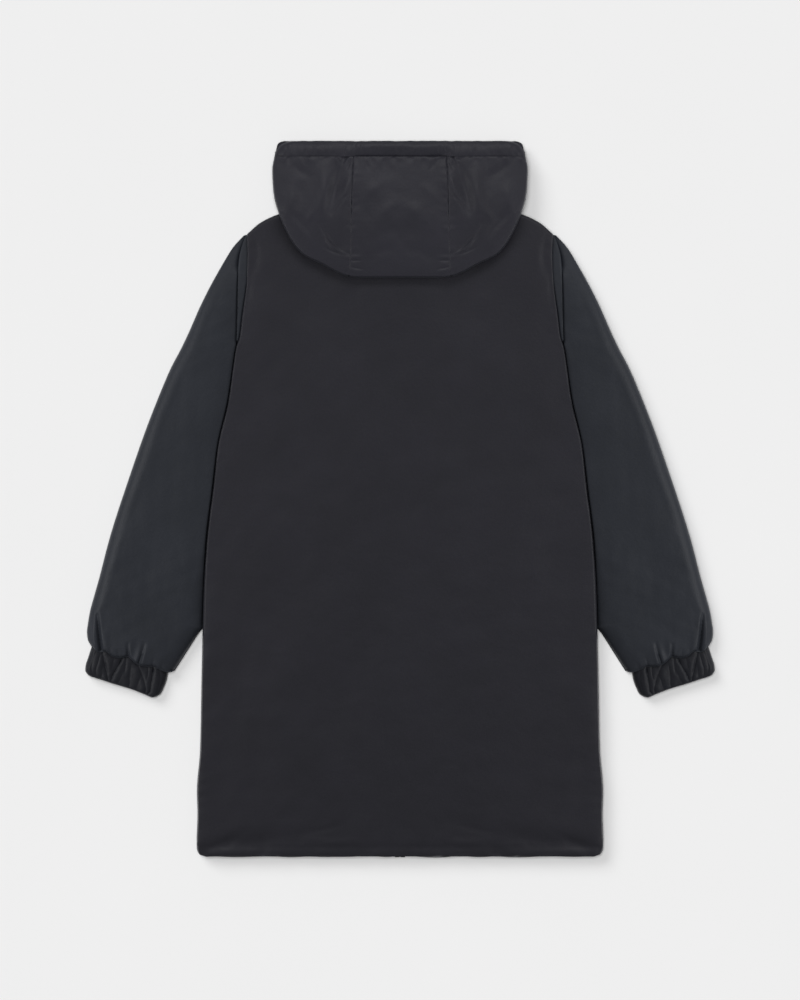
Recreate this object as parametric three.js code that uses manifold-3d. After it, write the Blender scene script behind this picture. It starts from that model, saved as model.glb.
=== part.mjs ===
// A hooded, zip-fronted padded parka laid out flat on its front, with the back and the hood uppermost.
// Millimetres. +X points right and +Y towards the hood as seen from above, and +Z points up from the table.
// The wearer's left side lies at -X. Every piece is a wall of padded cloth as it is cut and sewn.
import * as THREE from "three";
import { mergeVertices } from "three/addons/utils/BufferGeometryUtils.js";
import Module from "manifold-3d";

const wasm = await Module();
wasm.setup();

// Driving sizes
const GAP = 0.3; // between pieces that are sewn or lie together
const FRONT_WALL = 10; // padded front, flat on the table
const BACK_WALL = 12; // padded back, which lies on the fronts
const SEAM_EDGE = 1.6; // thickness of a padded wall where it is pressed into a seam
const BODY_ROUND = 22; // how far in from its edge the back rounds up to full thickness
const UNDER_LIFT = 4; // height of a front's lower edge above the table
const UNDER_ROUND = 5; // how far in from its edge a front comes down to the table
const HEM_Y = -500.6;
const HEM_RIM = 1; // how far along its round edge the hem starts, so that the turned cloth keeps a rim
const HEM_TURN = 26; // height of the turned and stitched hem
const HEM_TROUGH = 1.5; // depth of the dip along the hem's stitching
const HEM_TROUGH_WIDTH = 9;
const SHOULDER = { x: 214.3, y: 369 };
const HOOD_OVER_SHOULDER = 168; // how far out the hood lies along the shoulder line
const BEND_FROM_Y = 120; // above this the rows of a body panel bend towards the shoulder line
const LONGEST_STEP = 60; // between two rows of a body panel
const ZIP_HALF = 7.5; // half the gap between the fronts, which the zip fills
const ZIP_TOP_Y = 346;
const ZIP_PEEK = 1; // how far the zip's ends stand out below the hem
const SLEEVE_TUCK_TOP = 9.6; // top of the part of a sleeve that is tucked under the back
const SLEEVE_RIM = 8.6; // top of a sleeve's or cuff's outer edge
const SLEEVE_DOME = 27; // height of a sleeve along its middle
const SLEEVE_VALLEY = 11; // height of a sleeve where it dips beside the back
const DOME_RISE = 0.3; // share of a sleeve's width in which it rises from the valley
const DOME_FALL = 0.26; // and in which it rounds down to its outer edge
const TUBE_LIFT = 4; // height of a sleeve's lower face at its outer edge
const PLEAT_TOP = 19; // height of the armhole pleat beside the back
const PLEAT_ROUND = 2.5;
const CUFF_TOP = 17;
const CUFF_ROUND = 0.09; // share of a cuff's width in which it rounds down at each end
const CUFF_GATHER = 3.2; // depth of the deepest gather of a cuff
const CUFF_COLUMNS = 28;
const CASING = 20; // width of the casing's lower runs beside the face opening
const CASING_PUCKER = 0.7;
const HOOD_WALL = 7;
const HOOD_STACK = 34; // top of the hood's hidden layers
const HOOD_LIP = 21; // top of the hidden layers at the face edge
const HOOD_FALL_FROM_Y = 415; // the hood falls from here to its face edge
const HOOD_SKIRT = 6; // width of the fold where the hood's wall turns down at its edge
const HOOD_RIM = 3.5; // height of the hood's edge above what it rests on
const HOOD_ROUND = 22; // how far in from its edge the hood rounds up to full height
const STACK_ROUND = 14; // the same for the hidden layers
const STACK_INSET = { fold: 28, side: 15 }; // from the hood's outline in to the hidden layers
const HOOD_FOLD_ROWS = [0, 1.5, 4, HOOD_SKIRT - 0.3, HOOD_SKIRT + 0.6, 11, 17, 25]; // up from the hood's fold
const SLIT = 0.8; // between the two layers of a sleeve or cuff
const SLIT_SHARES = [0.04, 0.3, 0.55, 0.8, 0.95]; // where the slit's places are, across a sleeve or cuff
const SLIT_PAST = 0.2; // how far the cutting form runs past each end, as a share of the last section

// Half width of the back, from the hem up the side and then up the armhole seam.
const BODY_EDGE = [
  { y: -500.6, half: 272 },
  { y: -497, half: 281 },
  { y: -488, half: 284.5 },
  { y: -474.6, half: 284.6 },
  { y: -462, half: 284.1 },
  { y: -440, half: 283.5 },
  { y: -410, half: 284.3 },
  { y: -350, half: 279.8 },
  { y: -240, half: 277.6 },
  { y: -140, half: 275 },
  { y: -65, half: 271.5 },
  { y: 12, half: 262.3 },
  { y: 75, half: 254.6 },
  { y: 139, half: 240.2 },
  { y: 179, half: 234.4 },
  { y: 212, half: 229.4 },
  { y: 226, half: 224.6 },
  { y: 257, half: 220.8 },
  { y: 307, half: 214.3 },
  { y: 347, half: 213.2 },
  { y: 369, half: 214.3 },
];

// Half width of the closed fronts, which give way to the tucked part of each sleeve above the elbow.
const FRONT_EDGE = [
  { y: -500.6, half: 270 },
  { y: -497, half: 280 },
  { y: -488, half: 283.5 },
  { y: -440, half: 282.5 },
  { y: -410, half: 283.3 },
  { y: -350, half: 278.8 },
  { y: -240, half: 276.6 },
  { y: -200, half: 276 },
  { y: -184, half: 272 },
  { y: -141, half: 249 },
  { y: -65, half: 244 },
  { y: 12, half: 234 },
  { y: 75, half: 224 },
  { y: 120, half: 213 },
  { y: 160, half: 205 },
  { y: 200, half: 200.5 },
  { y: 257, half: 200.5 },
  { y: 307, half: 205 },
  { y: 347, half: 210 },
  { y: 369, half: 213.5 },
];

// The armhole pleat: the fold that its sleeve side ends on.
const PLEAT_FOLD = [
  { y: 212, half: 229.6 },
  { y: 240, half: 229 },
  { y: 297, half: 228.3 },
  { y: 336, half: 225.7 },
  { y: 361, half: 219.2 },
  { y: 369, half: 215.4 },
];

// Where each section of a sleeve crosses its inner edge, the back's edge and its outer edge, and how full.
const SLEEVE_SECTIONS = [
  { inner: 366, edge: 367, outer: 368, outerX: 218.6, full: 0.1 },
  { inner: 350, edge: 352, outer: 353.2, outerX: 233, full: 0.3 },
  { inner: 326, edge: 329, outer: 325.4, outerX: 250.2, full: 0.55 },
  { inner: 296, edge: 300, outer: 298.6, outerX: 265.2, full: 0.75 },
  { inner: 262, edge: 268, outer: 268.7, outerX: 280.1, full: 0.88 },
  { inner: 230, edge: 236, outer: 234.4, outerX: 295.1, full: 0.95 },
  { inner: 214, edge: 219, outer: 219, outerX: 302.3, full: 0.97 },
  { inner: 205, edge: 209, outer: 207.5, outerX: 308, full: 0.98 },
  { inner: 170, edge: 172, outer: 184.5, outerX: 320.2, full: 1 },
  { inner: 95, edge: 97, outer: 111.4, outerX: 350.4, full: 1 },
  { inner: 18, edge: 20, outer: 32.5, outerX: 378.3, full: 1 },
  { inner: -62, edge: -62, outer: -53.3, outerX: 406.1, full: 1 },
  { inner: -112, edge: -114, outer: -112, outerX: 421.4, full: 0.98 },
  { inner: -141, edge: -146, outer: -134.5, outerX: 427.8, full: 0.95 },
  { inner: -163, edge: -170, outer: -157.1, outerX: 433.9, full: 0.92 },
  { inner: -186, edge: -188, outer: -173.2, outerX: 436.7, full: 0.9 },
  { inner: -207, edge: -208, outer: -186, outerX: 438.2, full: 0.88 },
  { inner: -225, edge: -225.5, outer: -196, outerX: 437.2, full: 0.84 },
  { inner: -236, edge: -236, outer: -202, outerX: 434.6, full: 0.76 },
  { inner: -240.2, edge: -240.1, outer: -206.1, outerX: 431.8, full: 0.6 },
];

// Inner edge of a sleeve: along the front's edge, then down the free underarm edge to the cuff.
const SLEEVE_INNER = [
  { y: -240.2, half: 315.3 },
  { y: -223.7, half: 304.8 },
  { y: -192.4, half: 284.8 },
  { y: -178.8, half: 276 },
  { y: -160, half: 263.4 },
  { y: -141, half: 250.4 },
];

// A cuff from its seam to its end: the inner and outer corners and the height of each section.
const CUFF_SECTIONS = [
  { innerX: 324.2, innerY: -242.8, outerX: 431.2, outerY: -207.2, full: 0.86 },
  { innerX: 326.6, innerY: -252.7, outerX: 435.4, outerY: -218, full: 1 },
  { innerX: 330.2, innerY: -263.9, outerX: 439.4, outerY: -229.5, full: 1 },
  { innerX: 334.4, innerY: -272.4, outerX: 440.6, outerY: -239.4, full: 0.92 },
  { innerX: 341, innerY: -277, outerX: 436.5, outerY: -247, full: 0.72 },
];

// Gathers of a cuff's upper side: place across it at the seam and at the end, from the inner edge, and depth.
const GATHERS = [
  { seam: 0.1, end: 0.14, depth: 0.7 },
  { seam: 0.19, end: 0.25, depth: 1 },
  { seam: 0.33, end: 0.3, depth: 0.6 },
  { seam: 0.42, end: 0.44, depth: 0.5 },
  { seam: 0.5, end: 0.52, depth: 0.6 },
  { seam: 0.6, end: 0.66, depth: 0.95 },
  { seam: 0.84, end: 0.71, depth: 1 },
  { seam: 0.88, end: 0.83, depth: 0.6 },
  { seam: 0.94, end: 0.93, depth: 0.6 },
];
const GATHER_WIDTH = 0.022;

// Where a sleeve's sections have places between the pleat or the back's edge and the outer edge.
const SLEEVE_SHARES = [0.07, 0.17, 0.26, 0.37, 0.47, 0.6, 0.74, 0.86, 0.94, 1];

// Soft folds that run up a sleeve from its cuff seam: place across, length up the sleeve, and depth.
const SLEEVE_FOLDS = [
  { at: 0.26, length: 22, depth: 2.2 },
  { at: 0.47, length: 34, depth: 2.6 },
  { at: 0.6, length: 26, depth: 1.8 },
  { at: 0.86, length: 62, depth: 4.5 },
];
const SLEEVE_FOLD_WIDTH = 0.05;

// The top edge of the back and of the left front, from the centre out to the shoulder tip.
const BACK_TOP = [
  { at: 0, x: 0, y: 396 },
  { at: 0.22, x: 47, y: 400 },
  { at: 0.42, x: 90, y: 411 },
  { at: 0.6, x: 128, y: 407.5 },
  { at: 0.78, x: 168, y: 399 },
  { at: 0.9, x: 194, y: 386.5 },
  { at: 1, x: 214.3, y: 369 },
];
const FRONT_TOP = [
  { at: 0, x: 7.5, y: 301 },
  { at: 0.14, x: 34, y: 306 },
  { at: 0.26, x: 60, y: 323 },
  { at: 0.36, x: 79, y: 357 },
  { at: 0.44, x: 91, y: 408 },
  { at: 0.6, x: 128, y: 406 },
  { at: 0.78, x: 168, y: 397.5 },
  { at: 0.9, x: 194, y: 385.5 },
  { at: 1, x: 213.5, y: 369 },
];

// The hood's outline, from the middle of its lower fold round to the end of the casing.
const HOOD_OUTLINE = [
  { at: 0, x: 0, y: 309.4 },
  { at: 0.18, x: 61.6, y: 309.4 },
  { at: 0.22, x: 74, y: 311.5 },
  { at: 0.27, x: 88.2, y: 317.1 },
  { at: 0.34, x: 109.6, y: 328.6 },
  { at: 0.42, x: 133.7, y: 340.5 },
  { at: 0.47, x: 147.1, y: 353.8 },
  { at: 0.55, x: 160.4, y: 376.6 },
  { at: 0.63, x: 169.8, y: 399.3 },
  { at: 0.72, x: 176.4, y: 423.5 },
  { at: 0.79, x: 178.2, y: 442.3 },
  { at: 0.86, x: 178.8, y: 461 },
  { at: 0.93, x: 175.9, y: 479 },
];
const HOOD_SEAM = { topX: 65.4, topY: 478.6, foldX: 70.6, foldY: 311 };
const CASING_Y = 479; // the line of stitching under the casing
const CASING_OUTLINE = [
  { y: 479.3, half: 175.6 },
  { y: 484, half: 174.8 },
  { y: 490, half: 173 },
  { y: 496, half: 170.4 },
  { y: 499.4, half: 166 },
  { y: 501.2, half: 160 },
];
// Under the hood the face opening is a V, from its lowest point above the zip to the two top corners.
const CHIN = { x: 0, y: 366 };
const FACE_CORNER = { x: 163, y: 501 };

// The zip: section of one side from the middle outwards, and the slider at its top.
const TEETH = { inner: 0.15, outer: 2.8, low: 5.2, high: 7.8 };
const TAPE = { outer: 7.1, low: 6.1, high: 6.9 };
const SLIDER = { front: 338, channelEnd: 346.6, back: 353, half: 5.6, nose: 4.4, low: 4, high: 9.2 };
const PULL = { pinY: 341, pinZ: 2.2, pinR: 0.55, eyeR: 1.5, boreR: 0.9, width: 6, thick: 1.4, length: 30 };
const EAR = { inner: 1.5, outer: 2.6 };
const EYE_HALF = 1.15;

// A smooth curve through a table's rows that doesn't swing past them: column `from` in, column `to` out.
function curveThrough(table, from, to) {
  const xs = table.map((row) => row[from]);
  const ys = table.map((row) => row[to]);
  const rise = xs.slice(1).map((x, i) => (ys[i + 1] - ys[i]) / (x - xs[i]));
  const slopes = xs.map((_, i) => {
    if (i === 0) return rise[0];
    if (i === rise.length) return rise[i - 1];
    const product = rise[i - 1] * rise[i];
    return product > 0 ? (2 * product) / (rise[i - 1] + rise[i]) : 0;
  });
  return (x) => {
    let i = 0;
    while (i < rise.length - 1 && x > xs[i + 1]) i += 1;
    const span = xs[i + 1] - xs[i];
    const t = THREE.MathUtils.clamp((x - xs[i]) / span, 0, 1);
    const u = 1 - t;
    const ends = ys[i] * u * u * (1 + 2 * t) + ys[i + 1] * t * t * (3 - 2 * t);
    return ends + span * (slopes[i] * t * u * u - slopes[i + 1] * t * t * u);
  };
}

const { clamp, lerp, smoothstep } = THREE.MathUtils;

const bodyEdge = curveThrough(BODY_EDGE, "y", "half");
const frontEdge = curveThrough(FRONT_EDGE, "y", "half");
const pleatFold = curveThrough(PLEAT_FOLD, "y", "half");
const freeInner = curveThrough(SLEEVE_INNER, "y", "half");
const backTop = { x: curveThrough(BACK_TOP, "at", "x"), y: curveThrough(BACK_TOP, "at", "y") };
const frontTop = { x: curveThrough(FRONT_TOP, "at", "x"), y: curveThrough(FRONT_TOP, "at", "y") };
const backTopOver = curveThrough(BACK_TOP, "x", "y");
const hoodOutline = { x: curveThrough(HOOD_OUTLINE, "at", "x"), y: curveThrough(HOOD_OUTLINE, "at", "y") };

// Rises from 0 at an edge to 1 once every distance is past `reach`, as a quarter round.
function roundUp(reach, ...distances) {
  const short = distances.map((d) => clamp(1 - d / reach, 0, 1) ** 2).reduce((a, b) => a + b, 0);
  return Math.sqrt(Math.max(0, 1 - short));
}

// Places from 0 to 1 that crowd towards both ends.
function crowded(count) {
  return Array.from({ length: count + 1 }, (_, i) => (1 - Math.cos((Math.PI * i) / count)) / 2);
}

// A closed mesh of the triangles, turned over if they enclose a negative volume.
function closedGeometry(positions, triangles) {
  const at = (i) => new THREE.Vector3().fromArray(positions, 3 * i);
  let volume = 0;
  for (const [a, b, c] of triangles) volume += at(a).dot(at(b).cross(at(c)));
  const facing = volume < 0 ? triangles.map(([a, b, c]) => [a, c, b]) : triangles;
  const geometry = new THREE.BufferGeometry();
  geometry.setAttribute("position", new THREE.Float32BufferAttribute(positions, 3));
  geometry.setIndex(facing.flat());
  return geometry;
}

// A closed wall over a grid: plan(s, t) is a place seen from above, high and low are the two faces' heights.
function wall({ across, along, plan, high, low }) {
  const positions = [];
  const triangles = [];
  const columns = across.length;
  const size = columns * along.length;
  for (const face of [high, low])
    for (const t of along)
      for (const s of across) {
        const [x, y] = plan(s, t);
        positions.push(x, y, face(x, y, s, t));
      }
  const at = (face, row, column) => face * size + row * columns + column;
  const quad = (a, b, c, d) => triangles.push([a, b, c], [a, c, d]);
  for (let row = 0; row + 1 < along.length; row += 1) {
    for (let column = 0; column + 1 < columns; column += 1) {
      quad(at(0, row, column), at(0, row, column + 1), at(0, row + 1, column + 1), at(0, row + 1, column));
      quad(at(1, row, column), at(1, row + 1, column), at(1, row + 1, column + 1), at(1, row, column + 1));
    }
    quad(at(0, row, 0), at(0, row + 1, 0), at(1, row + 1, 0), at(1, row, 0));
    const end = columns - 1;
    quad(at(0, row, end), at(1, row, end), at(1, row + 1, end), at(0, row + 1, end));
  }
  const last = along.length - 1;
  for (let column = 0; column + 1 < columns; column += 1) {
    quad(at(0, 0, column), at(1, 0, column), at(1, 0, column + 1), at(0, 0, column + 1));
    quad(at(0, last, column), at(0, last, column + 1), at(1, last, column + 1), at(1, last, column));
  }
  return closedGeometry(positions, triangles);
}

function solidOf(geometry) {
  const bare = geometry.clone();
  bare.deleteAttribute("normal");
  bare.deleteAttribute("uv");
  const merged = mergeVertices(bare, 1e-4);
  const vertProperties = merged.attributes.position.array;
  const triVerts = new Uint32Array(merged.index.array);
  return new wasm.Manifold(new wasm.Mesh({ numProp: 3, vertProperties, triVerts }));
}

function geometryOf(solid) {
  const mesh = solid.getMesh();
  const geometry = new THREE.BufferGeometry();
  geometry.setAttribute("position", new THREE.Float32BufferAttribute(mesh.vertProperties, 3));
  geometry.setIndex(Array.from(mesh.triVerts));
  return geometry;
}

function joined(...geometries) {
  return geometryOf(geometries.map(solidOf).reduce((a, b) => a.add(b)));
}

function cut(geometry, ...tools) {
  return geometryOf(tools.map(solidOf).reduce((a, b) => a.subtract(b), solidOf(geometry)));
}

// A flat plate of the given outline, from one height to another.
function plate(points, low, high) {
  const shape = new THREE.Shape(points.map(([x, y]) => new THREE.Vector2(x, y)));
  return new THREE.ExtrudeGeometry(shape, { depth: high - low, bevelEnabled: false }).translate(0, 0, low);
}

// A bar of constant section (x, z) that runs along Y.
function barAlongY(section, fromY, toY) {
  const shape = new THREE.Shape(section.map(([x, z]) => new THREE.Vector2(x, z)));
  const bar = new THREE.ExtrudeGeometry(shape, { depth: toY - fromY, bevelEnabled: false });
  return bar.rotateX(Math.PI / 2).translate(0, toY, 0);
}

// Adds places between those of a table so that no step is longer than `step`.
function refined(places, step) {
  return places.flatMap((place, i) => {
    if (i === places.length - 1) return [place];
    const span = places[i + 1] - place;
    const parts = Math.max(1, Math.ceil(Math.abs(span) / step));
    return Array.from({ length: parts }, (_, k) => place + (span * k) / parts);
  });
}

// Upper face of the back: full in the middle, rounded to its seams, with a shallow trough above the hem.
function backHeight(x, y) {
  const inside = Math.max(0, bodyEdge(clamp(y, HEM_Y, SHOULDER.y)) - Math.abs(x));
  const down = Math.max(0, backTopOver(Math.min(Math.abs(x), SHOULDER.x)) - y);
  const full = roundUp(BODY_ROUND, inside, down, y - HEM_Y + HEM_RIM);
  const trough = HEM_TROUGH * Math.exp(-(((y - HEM_Y - HEM_TURN) / HEM_TROUGH_WIDTH) ** 2));
  return FRONT_WALL + GAP + SEAM_EDGE + (BACK_WALL - SEAM_EDGE) * full - trough * full;
}

// Rows that are level at the hem and bend towards the shoulder and neck line at the top.
function bodyPlan(edge, top, innerX) {
  return (s, y) => {
    const at = Math.abs(s);
    const bend = smoothstep(y, BEND_FROM_Y, SHOULDER.y);
    const straight = lerp(innerX, edge(y), at);
    const topX = top.x(at) - lerp(innerX, edge(SHOULDER.y), at);
    return [Math.sign(s) * (straight + bend * bend * topX), y + bend * (top.y(at) - SHOULDER.y)];
  };
}

// The rows of a body panel: its own below the sleeve, then one at each section of the sleeve beside it.
function bodyRows(table, section, fromY) {
  const below = refined(
    table.map((row) => row.y).filter((y) => y < fromY),
    LONGEST_STEP,
  );
  const beside = SLEEVE_SECTIONS.map((row) => row[section]).filter((y) => y >= fromY);
  return [...below, ...beside.reverse(), SHOULDER.y];
}

const frontColumns = [...FRONT_TOP.map((row) => row.at).slice(0, -1), 0.965, 1];
const backRows = bodyRows(BODY_EDGE, "edge", PLEAT_FOLD[0].y - 4);
const backColumns = crowded(16).map((c) => 2 * c - 1);

function back() {
  const plan = bodyPlan(bodyEdge, backTop, 0);
  return wall({ across: backColumns, along: backRows, plan, high: backHeight, low: () => FRONT_WALL + GAP });
}

// The room that the back takes up, with the gap round it, which is cut out of what lies on it.
function backRoom() {
  const plan = bodyPlan(bodyEdge, backTop, 0);
  return wall({
    across: backColumns,
    along: backRows,
    plan: (s, y) => {
      const [x, rowY] = plan(s, y);
      return [x, y === SHOULDER.y ? rowY + 2 * GAP : rowY];
    },
    high: (x, y) => backHeight(x, y) + 2 * GAP,
    low: () => FRONT_WALL,
  });
}

function front(side) {
  const plan = bodyPlan(frontEdge, frontTop, ZIP_HALF);
  return wall({
    across: frontColumns,
    along: bodyRows(FRONT_EDGE, "inner", SLEEVE_INNER[SLEEVE_INNER.length - 1].y),
    plan: (s, y) => {
      const [x, rowY] = s === 0 ? plan(Number.EPSILON, y) : plan(s, y);
      return [side * x, rowY];
    },
    high: () => FRONT_WALL,
    low: (x, y, s, row) => {
      const edge = Math.max(0, Math.min(frontEdge(row) - Math.abs(x), y - HEM_Y));
      return UNDER_LIFT * (1 - roundUp(UNDER_ROUND, edge));
    },
  });
}

// Height of a sleeve's upper face, `share` of the way from the pleat or the back's edge to its outer edge.
function sleeveHeight(share, section) {
  const dome = lerp(SLEEVE_VALLEY, SLEEVE_DOME, smoothstep(share, 0, DOME_RISE));
  const crest = lerp(FRONT_WALL, dome, section.full);
  const [cuffSeam] = CUFF_SECTIONS;
  const upSleeve = Math.hypot(section.outerX - cuffSeam.outerX, section.outer - cuffSeam.outerY);
  const folds = SLEEVE_FOLDS.map(({ at, length, depth }) => {
    const near = Math.exp(-(((share - at) / SLEEVE_FOLD_WIDTH) ** 2));
    return depth * near * (1 - smoothstep(upSleeve, 0, length));
  });
  const fold = folds.reduce((a, b) => a + b, 0);
  return lerp(SLEEVE_RIM, crest - fold, roundUp(DOME_FALL, 1 - share));
}

// One section of a sleeve: places [x, y, height] from the inner edge to the outer.
function sleeveSection(section) {
  const beside = section.inner > SLEEVE_INNER[SLEEVE_INNER.length - 1].y;
  const innerX = (beside ? frontEdge(section.inner) : freeInner(section.inner)) + GAP;
  const underBack = section.edge > -179;
  const seamX = Math.max(underBack ? bodyEdge(section.edge) : 0, innerX + 0.8);
  const pleated = section.edge > PLEAT_FOLD[0].y;
  const pleat = pleated ? smoothstep(section.edge, PLEAT_FOLD[0].y, 250) * Math.sqrt(section.full) : 0;
  const foldX = Math.max(pleated ? pleatFold(section.edge) : 0, seamX + 1.2);
  const pleatZ = lerp(SLEEVE_TUCK_TOP, PLEAT_TOP, pleat);
  const tuck = [
    [innerX, section.inner, SLEEVE_TUCK_TOP],
    [seamX + GAP, section.edge, SLEEVE_TUCK_TOP],
  ];
  const fold = [
    [seamX + 2 * GAP, section.edge, Math.max(pleatZ - PLEAT_ROUND, SLEEVE_TUCK_TOP)],
    [lerp(seamX, foldX, 0.55), section.edge, pleatZ],
    [foldX, section.edge, Math.max(pleatZ - PLEAT_ROUND, SLEEVE_TUCK_TOP)],
  ];
  const dome = SLEEVE_SHARES.map((share) => {
    const x = lerp(foldX, section.outerX, share);
    return [x, lerp(section.edge, section.outer, share), sleeveHeight(share, section)];
  });
  return [...tuck, ...fold, ...dome];
}

// A flattened tube: two layers that lie on each other, with a slit between them from end to end.
function flatTube(side, sections) {
  const last = sections[0].length - 1;
  const lowZ = (i) => (i === last ? TUBE_LIFT : 0);
  const outside = wall({
    across: sections[0].map((_, i) => i),
    along: sections.map((_, row) => row),
    plan: (i, row) => [side * sections[row][i][0], sections[row][i][1]],
    high: (x, y, i, row) => sections[row][i][2],
    low: (x, y, i) => lowZ(i),
  });
  const between = (row, share) => {
    const section = sections[row];
    const x = lerp(section[0][0], section[last][0], share);
    const i = Math.max(section.findIndex((place) => place[0] > x) - 1, 0);
    const along = (x - section[i][0]) / (section[i + 1][0] - section[i][0]);
    return section[i].map((value, k) => lerp(value, section[i + 1][k], along));
  };
  const slitPlace = (share, row) => {
    const [x, y, z] = between(row, share);
    const next = row === 0 ? 1 : row - 1;
    const past = row === 0 || row === sections.length - 1 ? -SLIT_PAST : 0;
    const [nextX, nextY] = between(next, share);
    return [side * lerp(x, nextX, past), lerp(y, nextY, past), z / 2];
  };
  const slit = wall({
    across: SLIT_SHARES,
    along: sections.map((_, row) => row),
    plan: (share, row) => slitPlace(share, row).slice(0, 2),
    high: (x, y, share, row) => slitPlace(share, row)[2] + SLIT / 2,
    low: (x, y, share, row) => slitPlace(share, row)[2] - SLIT / 2,
  });
  return cut(outside, slit);
}

const sleeveSections = SLEEVE_SECTIONS.map(sleeveSection);
const sleeveEnd = sleeveSections[sleeveSections.length - 1];

function sleeve(side) {
  return flatTube(side, sleeveSections);
}

// The sleeve's end, which the cuff's first section follows.
function sleeveEndY(x) {
  const next = clamp(
    sleeveEnd.findIndex(([placeX]) => placeX > x),
    1,
    sleeveEnd.length - 1,
  );
  const [ax, ay] = sleeveEnd[next - 1];
  const [bx, by] = sleeveEnd[next];
  return lerp(ay, by, (x - ax) / (bx - ax));
}

function cuffSection(row, index) {
  const end = index / (CUFF_SECTIONS.length - 1);
  return crowded(CUFF_COLUMNS).map((crowd, i) => {
    const share = (i / CUFF_COLUMNS + crowd) / 2;
    const dips = GATHERS.map((gather) => {
      const at = lerp(gather.seam, gather.end, end);
      return gather.depth * Math.exp(-(((share - at) / GATHER_WIDTH) ** 2));
    });
    const dip = dips.reduce((a, b) => a + b, 0);
    const x = lerp(row.innerX, row.outerX, share);
    const y = index === 0 ? sleeveEndY(x) - 2 * GAP : lerp(row.innerY, row.outerY, share);
    const ends = roundUp(CUFF_ROUND, share, 1 - share);
    return [x, y, lerp(SLEEVE_RIM, CUFF_TOP * row.full - CUFF_GATHER * dip, ends)];
  });
}

function cuff(side) {
  return flatTube(side, CUFF_SECTIONS.map(cuffSection));
}

// The hood's outline as points, and the distance of a place from it.
const outlinePoints = Array.from({ length: 61 }, (_, i) => {
  const at = (HOOD_OUTLINE[HOOD_OUTLINE.length - 1].at * i) / 60;
  return new THREE.Vector3(hoodOutline.x(at), hoodOutline.y(at), 0);
});

function fromOutline(x, y) {
  const place = new THREE.Vector3(Math.abs(x), y, 0);
  const nearest = new THREE.Vector3();
  const distances = outlinePoints.slice(1).map((point, i) => {
    new THREE.Line3(outlinePoints[i], point).closestPointToPoint(place, true, nearest);
    return nearest.distanceTo(place);
  });
  return Math.min(...distances);
}

// What the hood rests on: the back, or its own front part beyond the shoulders.
function underHood(x, y) {
  const beyond = y - backTopOver(Math.min(Math.abs(x), SHOULDER.x));
  return beyond > 0 ? FRONT_WALL + SEAM_EDGE : backHeight(x, y);
}

// Upper face of the hood's hidden layers, which fall towards the face edge.
function stackHeight(x, y) {
  const crest = lerp(HOOD_STACK, HOOD_LIP, smoothstep(y, HOOD_FALL_FROM_Y, FACE_CORNER.y));
  const rim = Math.min(crest, underHood(x, y) + 3);
  return lerp(rim, crest, roundUp(STACK_ROUND, Math.max(0, fromOutline(x, y) - HOOD_SKIRT)));
}

// The hood's wall lies on the hidden layers, and at its outline it turns down onto the back.
function hoodLow(x, y) {
  return fromOutline(x, y) < HOOD_SKIRT ? FRONT_WALL + 2 * GAP : stackHeight(x, y) + 2 * GAP;
}

function hoodHigh(x, y) {
  const crest = lerp(HOOD_STACK, HOOD_LIP, smoothstep(y, HOOD_FALL_FROM_Y, FACE_CORNER.y)) + HOOD_WALL;
  return lerp(underHood(x, y) + HOOD_RIM, crest, roundUp(HOOD_ROUND, fromOutline(x, y)));
}

function hoodCentre() {
  const foldRows = HOOD_FOLD_ROWS.map((distance) => HOOD_OUTLINE[0].y + distance);
  const seamX = (y) => {
    const up = (y - HOOD_SEAM.foldY) / (HOOD_SEAM.topY - HOOD_SEAM.foldY);
    return lerp(HOOD_SEAM.foldX, HOOD_SEAM.topX, up);
  };
  const panel = wall({
    across: [-1, -0.55, 0, 0.55, 1],
    along: [...foldRows, ...refined([350, 410, 450, CASING_Y - GAP], 24)],
    plan: (s, y) => {
      const bow = 1.9 * smoothstep(Math.abs(s), 0.8, 1) * (1 - smoothstep(y, foldRows[0], foldRows[3]));
      return [s * seamX(y), y + bow];
    },
    high: hoodHigh,
    low: hoodLow,
  });
  return cut(panel, backRoom());
}

// The part of a side panel that is uppermost fans out from its seam to the outline.
function hoodSideUpper(side) {
  const from = 0.214;
  const to = HOOD_OUTLINE[HOOD_OUTLINE.length - 1].at;
  return wall({
    across: [0, 0.25, 0.5, 0.68, 0.8, 0.88, 0.93, 0.948, 0.975, 1],
    along: [0.015, 0.07, 0.14, 0.22, 0.31, 0.41, 0.52, 0.62, 0.72, 0.82, 0.91, 1],
    plan: (s, t) => {
      const up = 1 - (1 - t) ** 1.3;
      const seamX = lerp(HOOD_SEAM.foldX, HOOD_SEAM.topX, up) + GAP;
      const seamY = lerp(HOOD_SEAM.foldY + GAP, CASING_Y - GAP, up);
      const at = lerp(from, to, t);
      return [side * lerp(seamX, hoodOutline.x(at), s), lerp(seamY, hoodOutline.y(at), s)];
    },
    high: hoodHigh,
    low: hoodLow,
  });
}

// A line of places moved sideways, to the left of the way that it runs.
function movedLeft(points, distance) {
  return points.map(([x, y], i) => {
    const [ax, ay] = points[Math.max(i - 1, 0)];
    const [bx, by] = points[Math.min(i + 1, points.length - 1)];
    const long = Math.hypot(bx - ax, by - ay);
    return [x - ((by - ay) / long) * distance, y + ((bx - ax) / long) * distance];
  });
}

// Height above the table's origin line of the face edge, and of the casing's seam below it.
const faceSlope = (FACE_CORNER.y - CHIN.y) / (FACE_CORNER.x - CHIN.x);
const casingDrop = CASING * Math.hypot(1, faceSlope);

function faceY(x, drop) {
  return CHIN.y + faceSlope * (x - CHIN.x) - drop;
}

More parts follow.
